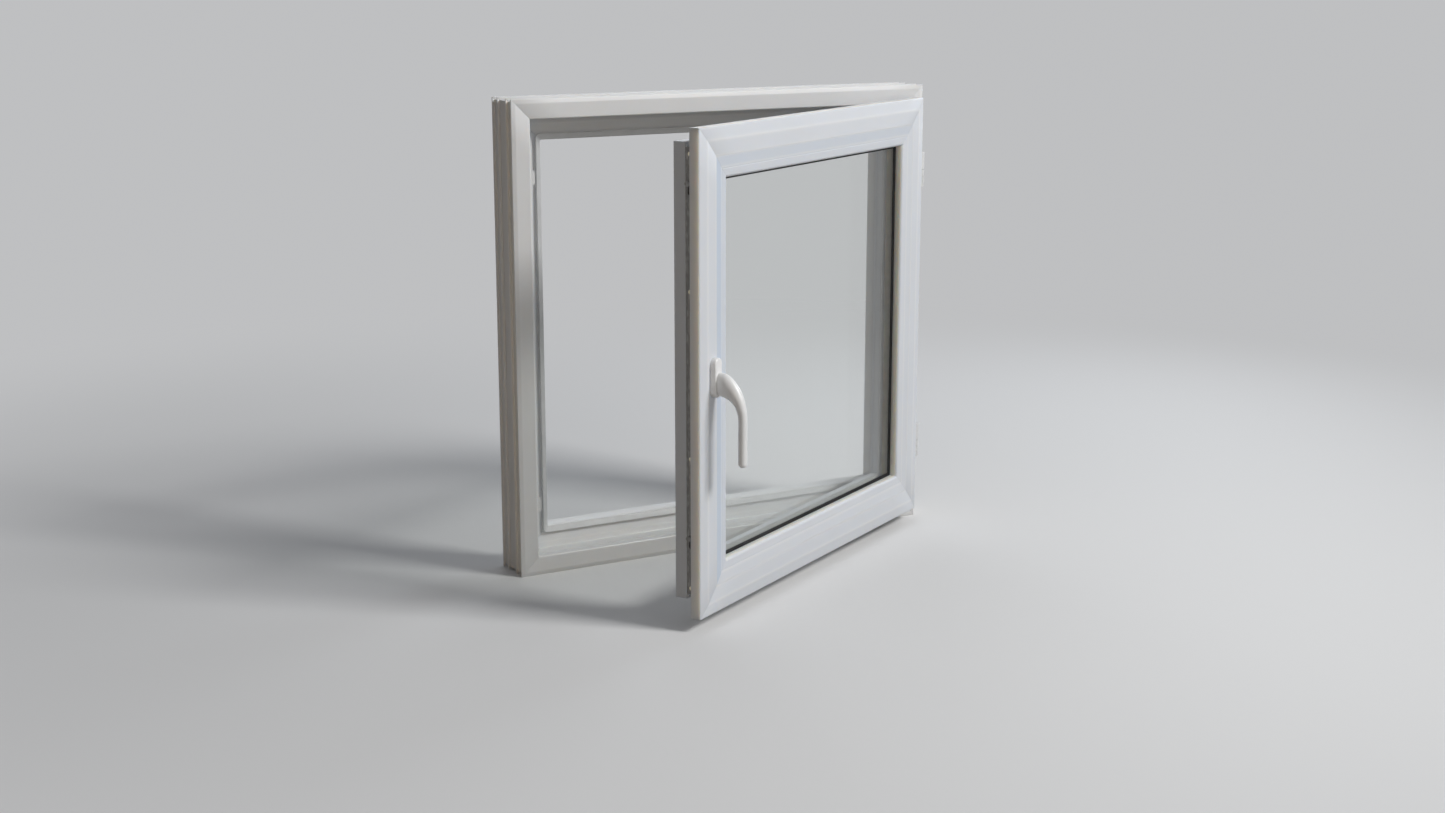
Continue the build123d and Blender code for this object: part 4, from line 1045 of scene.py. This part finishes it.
# %% [markdown]
# ## The floor
# The window stands on a wide plain floor. A curved backdrop could hide its far edge, but it would show in
# views from behind. Here the floor turns into an even pale tone far away. Rays from the camera, and those
# that come by way of gloss or glass, see it pale. Rays that carry light about find it dim, so the pale ground
# puts little light on the object.


# %% Floor
PALE, FLOOR_PALE, FLOOR_DIM = (0.52, 0.525, 0.535), (0.86, 0.86, 0.86), (0.26, 0.25, 0.235)


def seen_directly(tree):
    """1 for rays from the camera, from gloss and through glass, 0 for rays that carry light about."""
    path = tree.nodes.new("ShaderNodeLightPath")
    both, total = tree.nodes.new("ShaderNodeMath"), tree.nodes.new("ShaderNodeMath")
    total.use_clamp = True
    tree.links.new(path.outputs["Is Camera Ray"], both.inputs[0])
    tree.links.new(path.outputs["Is Glossy Ray"], both.inputs[1])
    tree.links.new(both.outputs["Value"], total.inputs[0])
    tree.links.new(path.outputs["Is Transmission Ray"], total.inputs[1])
    return total.outputs["Value"]


def floor_disc(radius=60.0, rings=14, around=64):
    """A flat disc: rings whose radius grows by a constant factor, each turned once round the middle."""
    r = np.geomspace(0.05, radius, rings)[:, None]
    angle = np.linspace(0, 2 * np.pi, around, endpoint=False)[None, :]
    grid = np.stack([r * np.cos(angle), r * np.sin(angle), np.zeros((rings, around))], axis=-1)
    mesh = bpy.data.meshes.new("studio_floor")
    faces = grid_faces(rings, around, True, False).tolist() + [list(range(around))]
    mesh.from_pydata(grid.reshape(-1, 3), [], faces)
    floor = bpy.data.objects.new("studio_floor", mesh)
    bpy.context.scene.collection.objects.link(floor)
    return floor


def floor_finish():
    """A pale floor near the window, dimmer for rays that carry light, and by distance an even pale tone for
    rays that see it directly."""
    material, tree, shader = new_finish("pale floor")
    seen = seen_directly(tree)
    colour_between(tree, shader, seen, FLOOR_DIM, FLOOR_PALE)
    shader.inputs["Roughness"].default_value = 0.7
    shader.inputs["Specular IOR Level"].default_value = 0.2
    place, far = tree.nodes.new("ShaderNodeTexCoord"), tree.nodes.new("ShaderNodeVectorMath")
    far.operation = "LENGTH"
    tree.links.new(place.outputs["Object"], far.inputs[0])
    share = tree.nodes.new("ShaderNodeMath")
    share.operation = "MULTIPLY"
    tree.links.new(ramp_between(tree, far.outputs["Value"], 0.6, 2.6), share.inputs[0])
    tree.links.new(seen, share.inputs[1])
    glow, mix = tree.nodes.new("ShaderNodeEmission"), tree.nodes.new("ShaderNodeMixShader")
    glow.inputs["Color"].default_value = (*PALE, 1)
    tree.links.new(share.outputs["Value"], mix.inputs["Fac"])
    tree.links.new(shader.outputs["BSDF"], mix.inputs[1])
    tree.links.new(glow.outputs["Emission"], mix.inputs[2])
    tree.links.new(mix.outputs["Shader"], tree.nodes["Material Output"].inputs["Surface"])
    return material


studio_floor = floor_disc()
studio_floor.data.materials.append(floor_finish())
print("floor squares:", len(studio_floor.data.polygons))

# %% [markdown]
# ## Light and sky
# The light is that of a studio: square soft lamps, because a small lamp would draw hard shadows. A large one
# high at the front right lights the sash. Weak ones fill in from the front, one cool and, further left, one
# warm. A faint one hangs above, and two cool ones stand behind on the right. The sky has the floor's far tone
# where it is seen, and is dim where it would light the object.


# %% Lamps and sky
SKY_DIM = (0.085, 0.09, 0.1)


def lamp(name, place, target, size, watts, tint):
    """A soft square lamp that looks at a point."""
    data = bpy.data.lights.new(name, "AREA")
    data.size, data.energy, data.color = size, watts, tint
    holder = bpy.data.objects.new(name, data)
    bpy.context.scene.collection.objects.link(holder)
    away = np.array(place, dtype=float) - np.array(target)
    flat = np.hypot(away[0], away[1])
    holder.location = place
    holder.rotation_euler = (np.arctan2(flat, away[2]), 0, np.arctan2(away[0], -away[1]))
    return holder


aim = (0.0, -0.1, 0.4)
lamp("key", (2.85, -3.80, 4.16), aim, 1.5, 230.0, (1.0, 0.995, 0.985))
lamp("front_fill", (0.9, -3.3, 1.3), aim, 2.0, 13.0, (0.95, 0.98, 1.0))
lamp("left_fill", (-2.7, -3.2, 1.1), aim, 1.2, 10.0, (1.0, 0.80, 0.56))
lamp("top", (-0.2, 0.6, 3.0), aim, 1.6, 2.0, (0.93, 0.965, 1.0))
lamp("back_rim", (2.3, 0.9, 1.0), aim, 0.9, 9.0, (0.88, 0.94, 1.0))
lamp("back_fill", (1.2, 3.2, 1.5), aim, 2.0, 16.0, (0.92, 0.96, 1.0))
world = bpy.data.worlds.new("studio")
world.use_nodes = True
sky_tree = world.node_tree
sky_tone = mixed_colour(sky_tree, seen_directly(sky_tree), SKY_DIM, PALE)
sky_tree.links.new(sky_tone, sky_tree.nodes["Background"].inputs["Color"])
bpy.context.scene.world = world
print("lamps:", [light.name for light in bpy.data.lights])

# %% [markdown]
# ## The camera
# The camera stands at the left, above the middle of the window. It could be set by eye, but every edge would
# be off by a little. Its place and its two angles were fitted to the straight edges of the frame and the
# sash.

# %% Camera
LOOKS_DOWN, LOOKS_RIGHT = 12.714, 29.232
lens = bpy.data.cameras.new("camera")
lens.lens, lens.sensor_width = 50.0, 36.0
camera = bpy.data.objects.new("camera", lens)
bpy.context.scene.collection.objects.link(camera)
camera.location = (-1.68815, -2.99527, 1.02834)
camera.rotation_euler = (radians(90 - LOOKS_DOWN), 0, radians(-LOOKS_RIGHT))
bpy.context.scene.camera = camera
bpy.context.scene.view_settings.view_transform = "Standard"
print("the camera stands", round(camera.location.length, 2), "m from the middle of the sill")

# %% [markdown]
# ## Bring the scene up to date
# The view layer is updated, so that every piece stands where its body puts it.

# %% Bring the scene up to date
bpy.context.view_layer.update()
